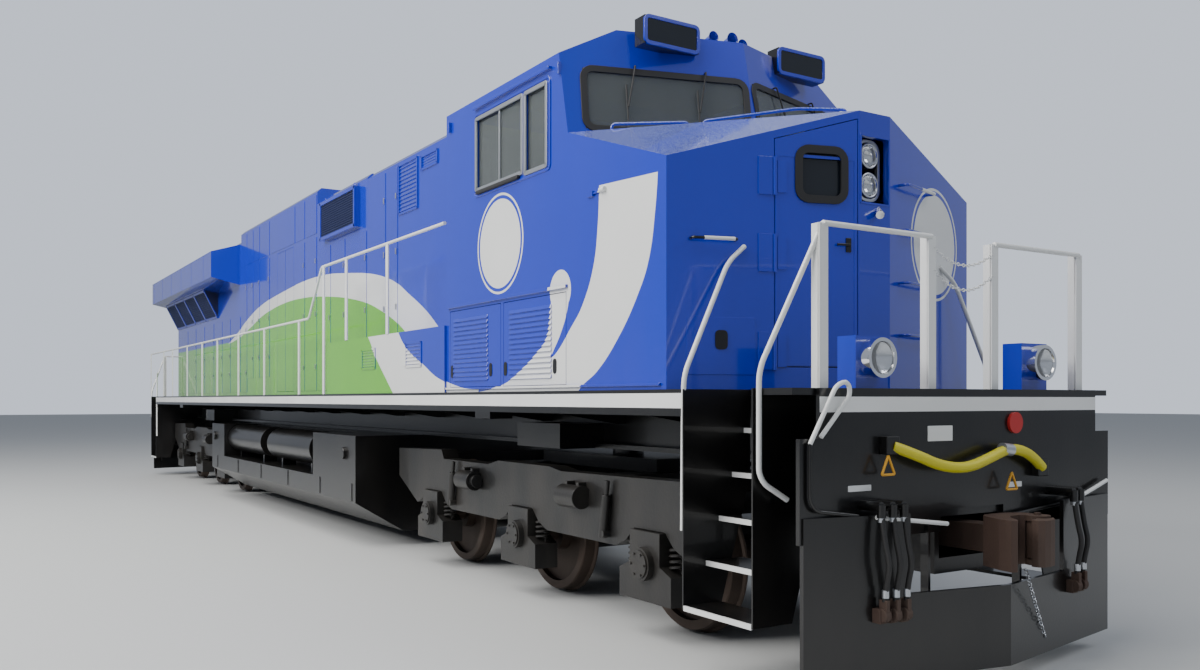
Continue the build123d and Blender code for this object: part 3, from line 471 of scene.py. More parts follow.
def aimed(axis):
    """A turn that brings the Z axis to an axis."""
    return Vector(axis).to_track_quat("Z", "Y").to_matrix().to_4x4()


def vertices(geometry):
    """The vertices among what an operator gives back."""
    return [point for point in geometry if isinstance(point, bmesh.types.BMVert)]


def spun(part, steps):
    """Spin an outline all the way round the Z axis."""
    bmesh.ops.spin(
        part, geom=part.verts[:] + part.edges[:], cent=(0, 0, 0), axis=(0, 0, 1), angle=2 * pi, steps=steps,
        use_merge=True)
    bmesh.ops.remove_doubles(part, verts=part.verts[:], dist=MERGE_REACH)


def face(origin, along, up):
    """Axes of a flat face: x along it, y up it and z out of it."""
    along, up = Vector(along).normalized(), Vector(up).normalized()
    axes = Matrix((along, up, along.cross(up))).transposed().to_4x4()
    axes.translation = origin
    return axes


def join(work, part, turn=None):
    """Move a shape and add it to the piece."""
    if turn:
        bmesh.ops.transform(part, matrix=turn, verts=part.verts[:])
    mesh = bpy.data.meshes.new("shape")
    part.to_mesh(mesh)
    part.free()
    work.from_mesh(mesh)
    bpy.data.meshes.remove(mesh)


def block(work, low, high, turn=None):
    """A block between two corners."""
    low, high = Vector(low), Vector(high)
    part = bmesh.new()
    fitted = Matrix.Translation((low + high) / 2) @ Matrix.Diagonal((*(high - low), 1.0))
    bmesh.ops.create_cube(part, size=1.0, matrix=fitted)
    join(work, part, turn)


def drum(work, centre, axis, radius, depth, top=None, segments=24):
    """A round drum about an axis, or a cone where its top radius differs."""
    bmesh.ops.create_cone(
        work, cap_ends=True, cap_tris=False, segments=segments, radius1=radius,
        radius2=radius if top is None else top, depth=depth, matrix=Matrix.Translation(centre) @ aimed(axis))


def plate(work, axes, sides, heights, depth, corner=0.0, rim=0.0, lift=0.0):
    """A plate on a face, its corners rounded. With a rim, only a frame of that width is left."""
    part = bmesh.new()
    corners = [part.verts.new((x, y, 0.0)) for x, y in (
        (sides[0], heights[0]), (sides[1], heights[0]), (sides[1], heights[1]), (sides[0], heights[1]))]
    part.faces.new(corners)
    part.normal_update()
    if corner:
        bmesh.ops.bevel(
            part, geom=part.verts[:], offset=corner, segments=5, profile=0.5, affect="VERTICES", material=-1)
    if rim:
        edge = bmesh.ops.inset_region(
            part, faces=part.faces[:], thickness=rim, use_boundary=True, use_even_offset=True)["faces"]
        bmesh.ops.delete(part, geom=[flat for flat in part.faces if flat not in edge], context="FACES")
    raised = bmesh.ops.extrude_face_region(part, geom=part.faces[:])["geom"]
    bmesh.ops.translate(part, vec=(0.0, 0.0, depth), verts=vertices(raised))
    bmesh.ops.recalc_face_normals(part, faces=part.faces[:])
    bmesh.ops.translate(part, vec=(0.0, 0.0, lift), verts=part.verts[:])
    join(work, part, axes)


def slat(work, axes, start, stop, top, reach):
    """One louvre of a face, its lower edge standing out."""
    tilt = axes @ Matrix.Translation((0, top, 0)) @ Matrix.Rotation(-radians(20), 4, "X")
    block(work, (start, -reach, -0.006), (stop, 0.0, 0.001), turn=tilt)


def turned(work, centre, axis, outline, steps=28):
    """A turned shape: an outline of distances from the axis and along it, spun round."""
    part = bmesh.new()
    line = [part.verts.new((radius, 0.0, along)) for radius, along in outline]
    for first, second in zip(line, line[1:]):
        part.edges.new((first, second))
    spun(part, steps)
    join(work, part, Matrix.Translation(centre) @ aimed(axis))


def ring(work, centre, axis, radius, wire, steps=16):
    """A ring of round wire, or a chain link."""
    part = bmesh.new()
    upright = Matrix.Translation((radius, 0, 0)) @ Matrix.Rotation(pi / 2, 4, "X")
    bmesh.ops.create_circle(part, segments=6, radius=wire, matrix=upright)
    spun(part, steps)
    join(work, part, Matrix.Translation(centre) @ aimed(axis))


def coil(work, foot, radius, wire, height, turns, steps=14):
    """An upright coil spring."""
    part = bmesh.new()
    bmesh.ops.create_circle(
        part, segments=6, radius=wire, cap_ends=True,
        matrix=Matrix.Translation((radius, 0, 0)) @ Matrix.Rotation(pi / 2, 4, "X"))
    whole = turns * steps
    bmesh.ops.spin(
        part, geom=part.verts[:] + part.edges[:] + part.faces[:], cent=(0, 0, 0), axis=(0, 0, 1),
        dvec=(0, 0, height / whole), angle=2 * pi * turns, steps=whole)
    join(work, part, Matrix.Translation(foot))


def piece(name, work, finish, body="body", both=False, edges=0.0, smooth=False):
    """A finished piece, on both sides if asked, that rides on a body."""
    if both:
        copied = bmesh.ops.duplicate(work, geom=work.verts[:] + work.edges[:] + work.faces[:])["geom"]
        bmesh.ops.scale(work, vec=(1.0, -1.0, 1.0), verts=vertices(copied))
    bmesh.ops.recalc_face_normals(work, faces=work.faces[:])
    mesh = bpy.data.meshes.new(name)
    work.to_mesh(mesh)
    work.free()
    if smooth:
        mesh.shade_smooth()
        mesh.set_sharp_from_angle(angle=radians(38))
    return finished(name, mesh, finish, body, edges)


def finished(name, data, finish, body, edges=0.0):
    """An object of a mesh or curve, with its finish, its body and its rounded edges."""
    paint, slot = PIECE_FINISH[finish]
    data.materials.append(paint)
    made = bpy.data.objects.new(name, data)
    bpy.context.scene.collection.objects.link(made)
    if edges:
        rounding = made.modifiers.new("edges", "BEVEL")
        rounding.width = edges
        rounding.segments = 2
        rounding.limit_method = "ANGLE"
    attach(made, body)
    return made


def bars(name, routes, radius, finish, body="body", bend=0.06, both=False):
    """Round bars, straight between round bends."""
    data = bpy.data.curves.new(name, "CURVE")
    data.dimensions = "3D"
    data.bevel_depth = radius
    data.bevel_resolution = 3
    data.use_fill_caps = True
    sides = (1, -1) if both else (1,)
    for side in sides:
        for route in routes:
            points = [Vector((x, side * y, z)) for x, y, z in route]
            stops = [(points[0], points[0], points[0])]
            for before, here, after in zip(points, points[1:], points[2:]):
                back = min(bend, 0.45 * (before - here).length, 0.45 * (after - here).length)
                start = here + (before - here).normalized() * back
                stop = here + (after - here).normalized() * back
                stops.append((start, start, start.lerp(here, 0.55)))
                stops.append((stop, stop.lerp(here, 0.55), stop))
            stops.append((points[-1], points[-1], points[-1]))
            spline = data.splines.new("BEZIER")
            spline.bezier_points.add(len(stops) - 1)
            spline.resolution_u = 5
            for point, (at, before, after) in zip(spline.bezier_points, stops):
                point.co = at
                point.handle_left = before
                point.handle_right = after
    return finished(name, data, finish, body)


def hose(name, routes, radius, finish, body="body"):
    """Flexible hoses or cable: smooth lines led by a few points each."""
    data = bpy.data.curves.new(name, "CURVE")
    data.dimensions = "3D"
    data.bevel_depth = radius
    data.bevel_resolution = 4
    data.use_fill_caps = True
    for route in routes:
        spline = data.splines.new("NURBS")
        spline.points.add(len(route) - 1)
        for point, at in zip(spline.points, route):
            point.co = (*at, 1.0)
        spline.order_u = 3
        spline.use_endpoint_u = True
        spline.resolution_u = 8
    return finished(name, data, finish, body)


ALONG, ACROSS, UP = (1, 0, 0), (0, 1, 0), (0, 0, 1)
CAB_SIDE = 1.527
HOOD_SIDE = 1.05
BOX_SIDE = 1.55
NOSE_SWEEP = atan2(0.41, 1.374)
FACET_ALONG = (sin(NOSE_SWEEP), cos(NOSE_SWEEP), 0.0)
SIDE_OF_CAB = face((0, -CAB_SIDE, 0), ALONG, UP)
SIDE_OF_HOOD = face((0, -HOOD_SIDE, 0), ALONG, UP)
SIDE_OF_BOX = face((0, -BOX_SIDE, 0), ALONG, UP)
FACET = face((9.76, -CAB_SIDE, 0), FACET_ALONG, UP)
LEFT_FACET = face((9.76, CAB_SIDE, 0), (-FACET_ALONG[0], FACET_ALONG[1], 0.0), UP)
CAB_FRONT = face((8.935, 0, 3.825), (-0.2856, 0.9583, 0), (-0.1934, -0.0576, 0.9794))
CAB_REAR = face((6.2, 0, 0), (0, -1, 0), UP)
PILOT_FACE = 10.99
END_FACE = face((PILOT_FACE, 0, 0), ACROSS, UP)

# Cab: window frames, gaskets, wipers, trim

SIDE_PANES = [(6.87, 7.74, 3.66, 4.29), (7.80, 8.15, 3.64, 4.29)]

work = bmesh.new()
for start, stop, low, high in SIDE_PANES:
    plate(
        work, SIDE_OF_CAB, (start - 0.022, stop + 0.022), (low - 0.022, high + 0.022), 0.014,
        corner=0.03, rim=0.034, lift=-0.001)
block(work, (7.29, -1.523, 3.67), (7.31, -1.508, 4.28))
piece("side_window_frames", work, "metal", both=True, edges=0.002)

work = bmesh.new()
plate(work, SIDE_OF_CAB, (6.82, 8.215), (3.59, 4.345), 0.010, corner=0.05, rim=0.022, lift=-0.001)
block(work, (6.25, -1.551, 2.632), (8.48, -1.526, 2.658))
block(work, (6.84, -1.560, 4.380), (8.23, -1.526, 4.405))
block(work, (6.21, -1.545, 1.866), (9.70, -1.526, 1.885))
for x in (6.30, 8.36):
    block(work, (x - 0.012, -1.552, 4.30), (x + 0.012, -1.526, 4.40))
piece("cab_side_trim", work, "body", both=True, edges=0.003)

work = bmesh.new()
block(work, (6.90, -1.560, 3.610), (7.70, -1.526, 3.644))
piece("window_armrests", work, "rubber", both=True, edges=0.008)

work = bmesh.new()
plate(work, CAB_FRONT, (0.045, 1.475), (0.022, 0.583), 0.014, corner=0.11, rim=0.055, lift=-0.002)
piece("windshield_gaskets", work, "rubber", both=True, edges=0.003, smooth=True)

WIPERS = [((0.42, 0.60), (0.50, 0.24)), ((1.02, 0.60), (1.10, 0.24))]
arms = []
for (top_x, top_y), (tip_x, tip_y) in WIPERS:
    arms.append([CAB_FRONT @ Vector(spot) for spot in (
        (top_x, top_y, 0.0), (top_x, top_y, 0.035), (tip_x, tip_y, 0.035))])
    arms.append([CAB_FRONT @ Vector((tip_x + 0.005, tip_y + reach, 0.024)) for reach in (0.19, -0.19)])
bars("wipers", arms, 0.007, "rubber", bend=0.02, both=True)

# Rear doors of the cab: pane and handle. The pane is an opaque near-black sheet, painted shade of the dim cab
# seen through the glass.
for name, side in (("right", -1), ("left", 1)):
    work = bmesh.new()
    middle = -side * 1.2825
    plate(
        work, CAB_REAR, (middle - 0.145, middle + 0.145), (3.60, 4.20), 0.012,
        corner=0.06, rim=0.03, lift=-0.001)
    piece(f"cab_door_gasket_{name}", work, "rubber", body=f"cab_door_{name}", smooth=True)
    work = bmesh.new()
    plate(work, CAB_REAR, (middle - 0.12, middle + 0.12), (3.625, 4.175), 0.004, corner=0.04, lift=0.0)
    piece(f"cab_door_pane_painted_shade_{name}", work, "pane", body=f"cab_door_{name}")
    bends = ((6.20, 3.30), (6.187, 3.30), (6.187, 3.10), (6.20, 3.10))
    handle = [(x, side * 1.43, height) for x, height in bends]
    bars(f"cab_door_handle_{name}", [handle], 0.007, "metal", body=f"cab_door_{name}", bend=0.02)

# Locker doors: pressed louvres and recessed handles. Columns: number, louvres from and to, handles
LOCKERS = [(1, 6.367, 7.091, (6.335, 7.15)), (2, 7.505, 8.229, (7.435, 8.28))]
LOUVRE_ROWS = 14
for name, side in (("right", -1), ("left", 1)):
    for number, start, stop, pulls in LOCKERS:
        work = bmesh.new()
        for row in range(LOUVRE_ROWS):
            slat(work, SIDE_OF_CAB, start, stop, 1.975 + row * 0.0425, 0.034)
        if side > 0:
            bmesh.ops.scale(work, vec=(1, -1, 1), verts=work.verts[:])
        door = f"locker_door_{name}_{number}"
        piece(f"locker_louvres_{name}_{number}", work, "body", body=door, edges=0.003)
        work = bmesh.new()
        for x in pulls:
            plate(work, SIDE_OF_CAB, (x - 0.028, x + 0.028), (1.975, 2.095), 0.005, corner=0.026, lift=-0.001)
        if side > 0:
            bmesh.ops.scale(work, vec=(1, -1, 1), verts=work.verts[:])
        piece(f"locker_pulls_{name}_{number}", work, "black", body=door, smooth=True)

# Nose: grab rails, door fittings, lamps

NOSE_HINGES = (2.105, 2.774, 3.30)
RUNG_HEIGHTS = (3.33, 3.0, 2.62, 2.24)
HEADLIGHTS = (3.30, 3.51)


def on_facet(along, height, out=0.0, axes=FACET):
    """A point on a facet of the nose."""
    return axes @ Vector((along, height, out))


NOSE_RAILS = [
    [(8.72, -1.28, 3.76), (8.72, -1.28, 3.87), (9.07, -0.82, 3.87), (9.07, -0.82, 3.74)],
    [(9.13, -0.72, 3.76), (9.13, -0.72, 3.88), (9.52, -0.13, 3.97), (9.75, 0.15, 3.95), (9.75, 0.15, 3.80)],
    [(8.72, 1.28, 3.76), (8.72, 1.28, 3.87), (9.07, 0.82, 3.87), (9.07, 0.82, 3.74)],
]
bars("nose_top_rails", NOSE_RAILS, 0.012, "body", bend=0.03)

rungs = []
for height in RUNG_HEIGHTS:
    rungs.append([on_facet(along, height, out, LEFT_FACET) for along, out in (
        (-1.28, 0.0), (-1.28, 0.07), (-0.80, 0.07), (-0.80, 0.0))])
bars("nose_rungs", rungs, 0.011, "body", bend=0.03)
grips = [[on_facet(along, height, 0.07, LEFT_FACET) for along in (-1.05, -0.82)] for height in RUNG_HEIGHTS]
bars("nose_rung_grips", grips, 0.0125, "white")
grab = [on_facet(along, 2.85, out) for along, out in ((0.17, 0.0), (0.17, 0.05), (0.49, 0.05), (0.49, 0.0))]
bars("nose_grab_ends", [grab], 0.010, "black", bend=0.02)
bars("nose_grab_grip", [[on_facet(0.25, 2.85, 0.05), on_facet(0.47, 2.85, 0.05)]], 0.013, "white")

work = bmesh.new()
plate(work, FACET, (0.14, 0.64), (1.94, 2.328), 0.004, corner=0.01, lift=-0.001)
for height in NOSE_HINGES:
    block(work, (0.66, height - 0.13, 0.0), (0.765, height + 0.13, 0.010), turn=FACET)
piece("nose_facet_plates", work, "body", edges=0.002)
work = bmesh.new()
plate(work, FACET, (0.345, 0.435), (2.11, 2.24), 0.008, corner=0.03, lift=0.001)
piece("nose_panel_latch", work, "black", smooth=True)

work = bmesh.new()
for height in NOSE_HINGES:
    drum(work, on_facet(0.785, height, 0.0), UP, 0.016, 0.26)
piece("nose_hinge_barrels", work, "body", smooth=True)

work = bmesh.new()
plate(work, FACET, (0.935, 1.340), (3.130, 3.530), 0.014, corner=0.10, rim=0.055, lift=-0.001)
piece("nose_door_gasket", work, "rubber", body="nose_door", smooth=True)
# The door's pane is an opaque near-black sheet: painted shade of the dim nose seen through the glass.
work = bmesh.new()
plate(work, FACET, (0.967, 1.308), (3.162, 3.498), 0.004, corner=0.06, lift=-0.0195)
piece("nose_door_pane_painted_shade", work, "pane", body="nose_door")
work = bmesh.new()
for height in NOSE_HINGES:
    block(work, (0.803, height - 0.11, 0.0), (0.87, height + 0.11, 0.008), turn=FACET)
plate(work, FACET, (0.79, 1.41), (2.005, 3.46), 0.003, corner=0.02, rim=0.02, lift=0.0)
piece("nose_door_trim", work, "body", body="nose_door", edges=0.002)
work = bmesh.new()
block(work, (1.325, 2.80, 0.0), (1.365, 2.90, 0.008), turn=FACET)
block(work, (1.250, 2.842, 0.012), (1.355, 2.858, 0.022), turn=FACET)
piece("nose_door_latch", work, "black", body="nose_door", edges=0.002)

LAMP_OUTLINE = [
    (0.0, 0.0), (0.088, 0.0), (0.088, 0.10), (0.078, 0.10), (0.072, 0.085), (0.045, 0.035), (0.0, 0.02),
]
LENS_OUTLINE = [(0.0, 0.099), (0.045, 0.096), (0.076, 0.088)]
work = bmesh.new()
lens = bmesh.new()
for height in HEADLIGHTS:
    turned(work, (10.02, 0, height), ALONG, LAMP_OUTLINE)
    turned(lens, (10.02, 0, height), ALONG, LENS_OUTLINE)
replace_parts(piece("headlight_bowls", work, "bowl", smooth=True), "headlights")
piece("headlight_lenses", lens, "lens", smooth=True)
work = bmesh.new()
IN_RECESS = face((10.02, 0, 0), ACROSS, UP)
plate(work, IN_RECESS, (-0.115, 0.115), (3.185, 3.625), 0.030, corner=0.09, rim=0.022, lift=0.06)
for height in HEADLIGHTS:
    ring(work, (10.115, 0, height), ALONG, 0.084, 0.008, steps=28)
piece("headlight_housing", work, "metal", edges=0.002, smooth=True)
work = bmesh.new()
RECESS_FACE = face((10.172, 0, 0), ACROSS, UP)
plate(work, RECESS_FACE, (-0.150, 0.150), (3.150, 3.640), 0.006, corner=0.01, rim=0.014, lift=-0.003)
piece("headlight_recess_edge", work, "body", edges=0.002)
work = bmesh.new()
drum(work, (10.19, 0.02, 3.10), (0.6, -0.5, -0.4), 0.022, 0.13, top=0.030)
piece("door_step_lamp", work, "bowl", smooth=True)

DITCH_OUTLINE = [
    (0.0, -0.055), (0.118, -0.055), (0.122, 0.0), (0.122, 0.038), (0.100, 0.038), (0.094, 0.022), (0.0, 0.004),
]
DITCH_LENS = [(0.0, 0.034), (0.06, 0.032), (0.096, 0.028)]
work = bmesh.new()
lens = bmesh.new()
for end in (1, -1):
    turned(work, (end * 10.93, -0.80, 2.025), (end, 0, 0), DITCH_OUTLINE)
    turned(lens, (end * 10.93, -0.80, 2.025), (end, 0, 0), DITCH_LENS)
    block(work, (end * 10.955, -0.925, 2.012), (end * 10.962, -0.905, 2.038))
piece("ditch_lamp_rims", work, "bowl", both=True, smooth=True)
piece("ditch_lamp_lenses", lens, "lens", both=True, smooth=True)

work = bmesh.new()
block(work, (8.78, -1.545, 3.270), (8.86, -1.526, 3.310))
block(work, (8.86, -1.540, 3.284), (8.97, -1.530, 3.296))
piece("marker_bracket", work, "body", both=True, edges=0.002)
work = bmesh.new()
drum(work, (8.995, -1.541, 3.297), ALONG, 0.018, 0.06)
piece("marker_lamp", work, "white", both=True, smooth=True)

# Horn: three trumpets on the cab roof. Columns: across, length, bell radius
TRUMPETS = [(-0.17, 0.30, 0.050), (0.0, 0.34, 0.058), (0.17, 0.27, 0.054)]
work = bmesh.new()
block(work, (8.10, -0.22, 4.72), (8.44, 0.22, 4.745))
for y, length, bell in TRUMPETS:
    trumpet = [
        (0.0, -0.05), (0.014, -0.05), (0.014, length * 0.6 - 0.05), (bell * 0.6, length * 0.9 - 0.05),
        (bell, length - 0.05), (bell * 0.5, length * 0.85 - 0.05), (0.0, length * 0.7 - 0.05),
    ]
    turned(work, (8.32, y, 4.790), ALONG, trumpet)
    drum(work, (8.26, y, 4.790), ALONG, 0.035, 0.05)
    block(work, (8.30, y - 0.012, 4.745), (8.33, y + 0.012, 4.785))
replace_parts(piece("horn_trumpets", work, "body", smooth=True), "horn")

# Number boards: rounded rims and blank dark faces
work = bmesh.new()
board_pane = bmesh.new()
BOARD_FRONT = face((8.70, 0, 0), ACROSS, UP)
plate(work, BOARD_FRONT, (-0.968, -0.422), (4.552, 4.788), 0.022, corner=0.05, rim=0.030, lift=-0.012)
plate(board_pane, BOARD_FRONT, (-0.945, -0.445), (4.575, 4.765), 0.004, corner=0.03, lift=-0.001)
piece("number_board_rims", work, "body", both=True, edges=0.003, smooth=True)
piece("number_board_faces", board_pane, "pane", both=True)

# Hood doors between their seams. Columns: from, to, low, high
HOOD_PANELS = [
    (-4.07, -3.665, 1.90, 4.14), (-3.635, -3.215, 2.15, 4.14), (-3.185, -2.768, 2.15, 4.14),
    (-2.738, -2.114, 2.15, 4.14),
    (-0.586, -0.097, 1.90, 4.14), (-0.067, 0.50, 1.90, 4.14),
    (-4.07, -3.665, 4.19, 4.76), (-3.635, -3.215, 4.19, 4.76), (-3.185, -2.768, 4.19, 4.76),
    (-2.738, -2.114, 4.19, 4.76),
    (-2.084, -0.616, 4.19, 4.76), (-0.586, -0.097, 4.19, 4.76), (-0.067, 0.50, 4.19, 4.76),
    (0.56, 1.15, 1.90, 3.94), (1.18, 1.77, 1.90, 3.94), (1.80, 2.62, 1.90, 3.94),
    (2.70, 3.30, 2.53, 4.55), (3.33, 3.70, 2.53, 4.55), (4.95, 5.60, 2.53, 4.55), (5.63, 6.17, 2.53, 4.55),
    (-4.93, -4.16, 1.90, 3.30), (-5.63, -4.96, 1.90, 3.30), (-6.38, -5.66, 1.90, 3.30),
    (-7.28, -6.42, 1.90, 3.30),
    (-8.18, -7.32, 1.90, 3.30), (-9.08, -8.22, 1.90, 3.30), (-10.27, -9.12, 1.90, 3.30),
]
work = bmesh.new()
for start, stop, low, high in HOOD_PANELS:
    plate(work, SIDE_OF_HOOD, (start, stop), (low, high), 0.007, corner=0.012, lift=-0.001)
piece("hood_panels", work, "body", both=True, edges=0.002)

work = bmesh.new()
for start, stop, low, high in HOOD_PANELS:
    if high - low > 1.0:
        for height in (low + 0.35, (low + high) / 2, high - 0.35):
            block(work, (stop - 0.045, -1.070, height - 0.035), (stop - 0.020, -1.055, height + 0.035))
piece("hood_door_latches", work, "metal", both=True, edges=0.002)

# Vents: frame and slats on the hood and the walkway boxes. Columns: from, to, low, high, rows
HOOD_VENTS = [(3.74, 4.33, 3.95, 4.55, 12), (4.43, 4.90, 4.35, 4.52, 4)]
BOX_VENTS = [(3.87, 4.32, 2.11, 2.35, 6), (5.21, 5.64, 2.10, 2.365, 6)]
work = bmesh.new()
for axes, vents, proud in ((SIDE_OF_HOOD, HOOD_VENTS, 0.016), (SIDE_OF_BOX, BOX_VENTS, 0.010)):
    for start, stop, low, high, rows in vents:
        plate(work, axes, (start, stop), (low, high), proud, corner=0.01, rim=0.025, lift=-0.001)
        pitch = (high - low - 0.05) / rows
        for row in range(rows):
            slat(work, axes, start + 0.02, stop - 0.02, low + 0.025 + (row + 0.9) * pitch, 0.7 * pitch)
piece("hood_vents", work, "body", both=True, edges=0.001)

work = bmesh.new()
INTAKE_FACE = face((0, -1.11, 0), ALONG, UP)
plate(work, INTAKE_FACE, (0.885, 2.368), (4.015, 4.551), 0.022, corner=0.01, rim=0.045, lift=-0.001)
for x in (1.01, 2.243):
    ring(work, (x, -1.08, 4.575), ACROSS, 0.030, 0.007)
piece("intake_frames", work, "body", both=True, edges=0.003)
work = bmesh.new()
for step in range(46):
    x = 0.935 + step * 0.0306
    block(work, (x, -1.119, 4.06), (x + 0.006, -1.111, 4.508))
for step in range(15):
    z = 4.07 + step * 0.0306
    block(work, (0.93, -1.121, z), (2.323, -1.113, z + 0.006))
piece("intake_mesh", work, "mesh", both=True)
# A near-black sheet just behind the mesh: painted shade of the hollow behind the intake.
work = bmesh.new()
block(work, (0.93, -1.1115, 4.06), (2.323, -1.109, 4.508))
piece("intake_painted_shade", work, "pane", both=True)

# Radiator screens: frames on the sloping mesh
SCREEN_SLOPE = face((0, -1.05, 3.40), ALONG, (0, -0.27, 0.545))
work = bmesh.new()
for panel in range(4):
    start = -10.28 + panel * 1.06
    plate(
        work, SCREEN_SLOPE, (start, start + 1.06), (0.0, 0.608), 0.018, corner=0.008, rim=0.045, lift=-0.001)
piece("screen_frames", work, "body", both=True, edges=0.003)
work = bmesh.new()
for step in range(104):
    x = -10.24 + step * 0.0403
    block(work, (x, 0.045, 0.002), (x + 0.008, 0.563, 0.008), turn=SCREEN_SLOPE)
for step in range(13):
    y = 0.055 + step * 0.0403
    block(work, (-10.24, y, 0.004), (-6.08, y + 0.008, 0.010), turn=SCREEN_SLOPE)
piece("screen_wires", work, "mesh", both=True)

work = bmesh.new()
for x in (-4.9, -6.04, -7.1, -8.2, -9.3, -10.35):
    block(work, (x - 0.006, -1.5615, 4.01), (x + 0.006, -1.559, 4.465))
block(work, (-10.645, -1.5615, 4.447), (-4.22, -1.559, 4.469))
piece("wing_ribs", work, "body", both=True)

# Roof fans behind their guards
FAN_PLACES = (-5.5, -7.4, -9.3)
FAN_RIM = [(0.70, -0.01), (0.70, 0.045), (0.72, 0.05), (0.74, 0.045), (0.76, -0.01)]
work = bmesh.new()
guard = bmesh.new()
for x in FAN_PLACES:
    turned(work, (x, 0, 4.69), UP, FAN_RIM, steps=48)
    drum(guard, (x, 0, 4.705), UP, 0.70, 0.012, segments=48)
    drum(guard, (x, 0, 4.72), UP, 0.16, 0.03, segments=32)
    for radius in (0.30, 0.43, 0.56, 0.68):
        ring(guard, (x, 0, 4.735), UP, radius, 0.004, steps=48)
    for spoke in range(8):
        turn = Matrix.Translation((x, 0, 4.738)) @ Matrix.Rotation(spoke * pi / 8, 4, "Z")
        block(guard, (-0.71, -0.006, -0.004), (0.71, 0.006, 0.004), turn=turn)
piece("fan_rims", work, "body", smooth=True)
piece("fan_guards", guard, "black", smooth=True)

# End platforms: post flanges, step and end rails, chains
END_POSTS = (-1.25, -0.31, 0.31, 1.25)
PLATFORM_END = 10.92
work = bmesh.new()
for end in (1, -1):
    for y in END_POSTS:
        for edge in (y - 0.035, y + 0.027):
            block(work, (end * PLATFORM_END, edge, 1.84), (end * 10.86, edge + 0.008, 2.80))
piece("end_post_flanges", work, "white", edges=0.001)

STEP_RAIL = [(9.963, 1.545, 0.93), (9.975, 1.545, 1.93), (9.94, 1.15, 2.69)]
front_rail = [(x, -y, z) for x, y, z in STEP_RAIL] + [tuple(on_facet(0.560, 2.81, 0.0))]
rails = [
    front_rail,
    [(10.92, -1.25, 2.80), (10.70, -1.545, 1.95), (10.70, -1.545, 1.30), (10.74, -1.36, 1.18)],
    [(-10.92, -1.25, 2.80), (-10.86, -1.545, 1.95), (-10.86, -1.545, 1.30), (-10.90, -1.36, 1.18)],
    [(-10.13, -1.545, 0.93), (-10.13, -1.545, 2.30), (-10.03, -1.545, 2.40)],
]
bars("step_rails", rails, 0.017, "white", bend=0.07, both=True)

work = bmesh.new()
for end in (1, -1):
    for sag, top in ((0.10, 2.74), (0.12, 2.60)):
        for link in range(23):
            part_way = (link + 0.5) / 23
            height = top - sag * 4 * part_way * (1 - part_way)
            spot = (end * PLATFORM_END, -0.30 + 0.60 * part_way, height)
            ring(work, spot, (1, 0, 0) if link % 2 else (0, 0.2, 1), 0.010, 0.0035, steps=10)
piece("platform_chains", work, "white", smooth=True)

# Steps: white edges on the treads. Columns: height, outer edge
TREADS = [(0.450, 1.560), (0.725, 1.377), (1.010, 1.269), (1.293, 1.158), (1.583, 1.056)]
work = bmesh.new()
for low_x, high_x in ((9.992, 10.648), (-10.828, -10.172)):
    for height, outer in TREADS:
        block(work, (low_x, -outer - 0.0015, height - 0.032), (high_x, -outer + 0.012, height + 0.001))
piece("tread_edges", work, "white", both=True)

# Front of the pilot: cable, hoses, handles and blank plates
CABLE_ROUTE = [
    (11.03, -0.79, 1.495), (11.085, -0.64, 1.44), (11.095, -0.43, 1.365), (11.095, -0.19, 1.345),
    (11.09, 0.03, 1.40), (11.082, 0.215, 1.455), (11.075, 0.38, 1.445), (11.062, 0.53, 1.39),
    (11.038, 0.65, 1.32),
]
hose("jumper_cable", [CABLE_ROUTE], 0.034, "yellow")
work = bmesh.new()
for y, z in ((-0.80, 1.50), (0.66, 1.315)):
    block(work, (PILOT_FACE, y - 0.055, z - 0.055), (11.05, y + 0.055, z + 0.055))
piece("cable_sockets", work, "black", edges=0.006)
work = bmesh.new()
drum(work, (11.082, 0.215, 1.452), (0, 1, -0.1), 0.040, 0.09)
piece("cable_clamp", work, "metal", smooth=True)

HOSE_TABLE = [(-1.01, -0.99), (-0.93, -0.915), (-0.85, -0.84), (0.80, 0.82), (0.90, 0.915)]
routes = []
tops = bmesh.new()
bands = bmesh.new()
heads = bmesh.new()
for top_y, low_y in HOSE_TABLE:
    low_x = 11.27 - 0.27 * abs(low_y) / 1.48
    x = low_x + 0.055
    routes.append([
        (x, top_y, 1.12), (x + 0.025, top_y, 0.95), (x + 0.055, (top_y + low_y) / 2, 0.83),
        (x + 0.02, low_y, 0.71), (x + 0.007, low_y, 0.61),
    ])
    drum(tops, ((PILOT_FACE + x) / 2, top_y, 1.155), ALONG, 0.030, x - PILOT_FACE)
    drum(tops, (x, top_y, 1.13), UP, 0.026, 0.075)
    drum(bands, (x, top_y, 1.085), UP, 0.021, 0.035)
    drum(bands, (x + 0.012, low_y, 0.655), UP, 0.021, 0.045)
    block(heads, (x - 0.025, low_y - 0.014, 0.50), (x + 0.035, low_y + 0.014, 0.62))
    drum(heads, (x, low_y, 0.53), ACROSS, 0.040, 0.045)
    block(heads, (low_x - 0.01, low_y - 0.03, 0.48), (x, low_y + 0.03, 0.565))
hose("brake_hoses", routes, 0.017, "rubber")
piece("hose_cocks", tops, "black", smooth=True)
piece("hose_bands", bands, "metal", smooth=True)
piece("hose_heads", heads, "iron", edges=0.004, smooth=True)

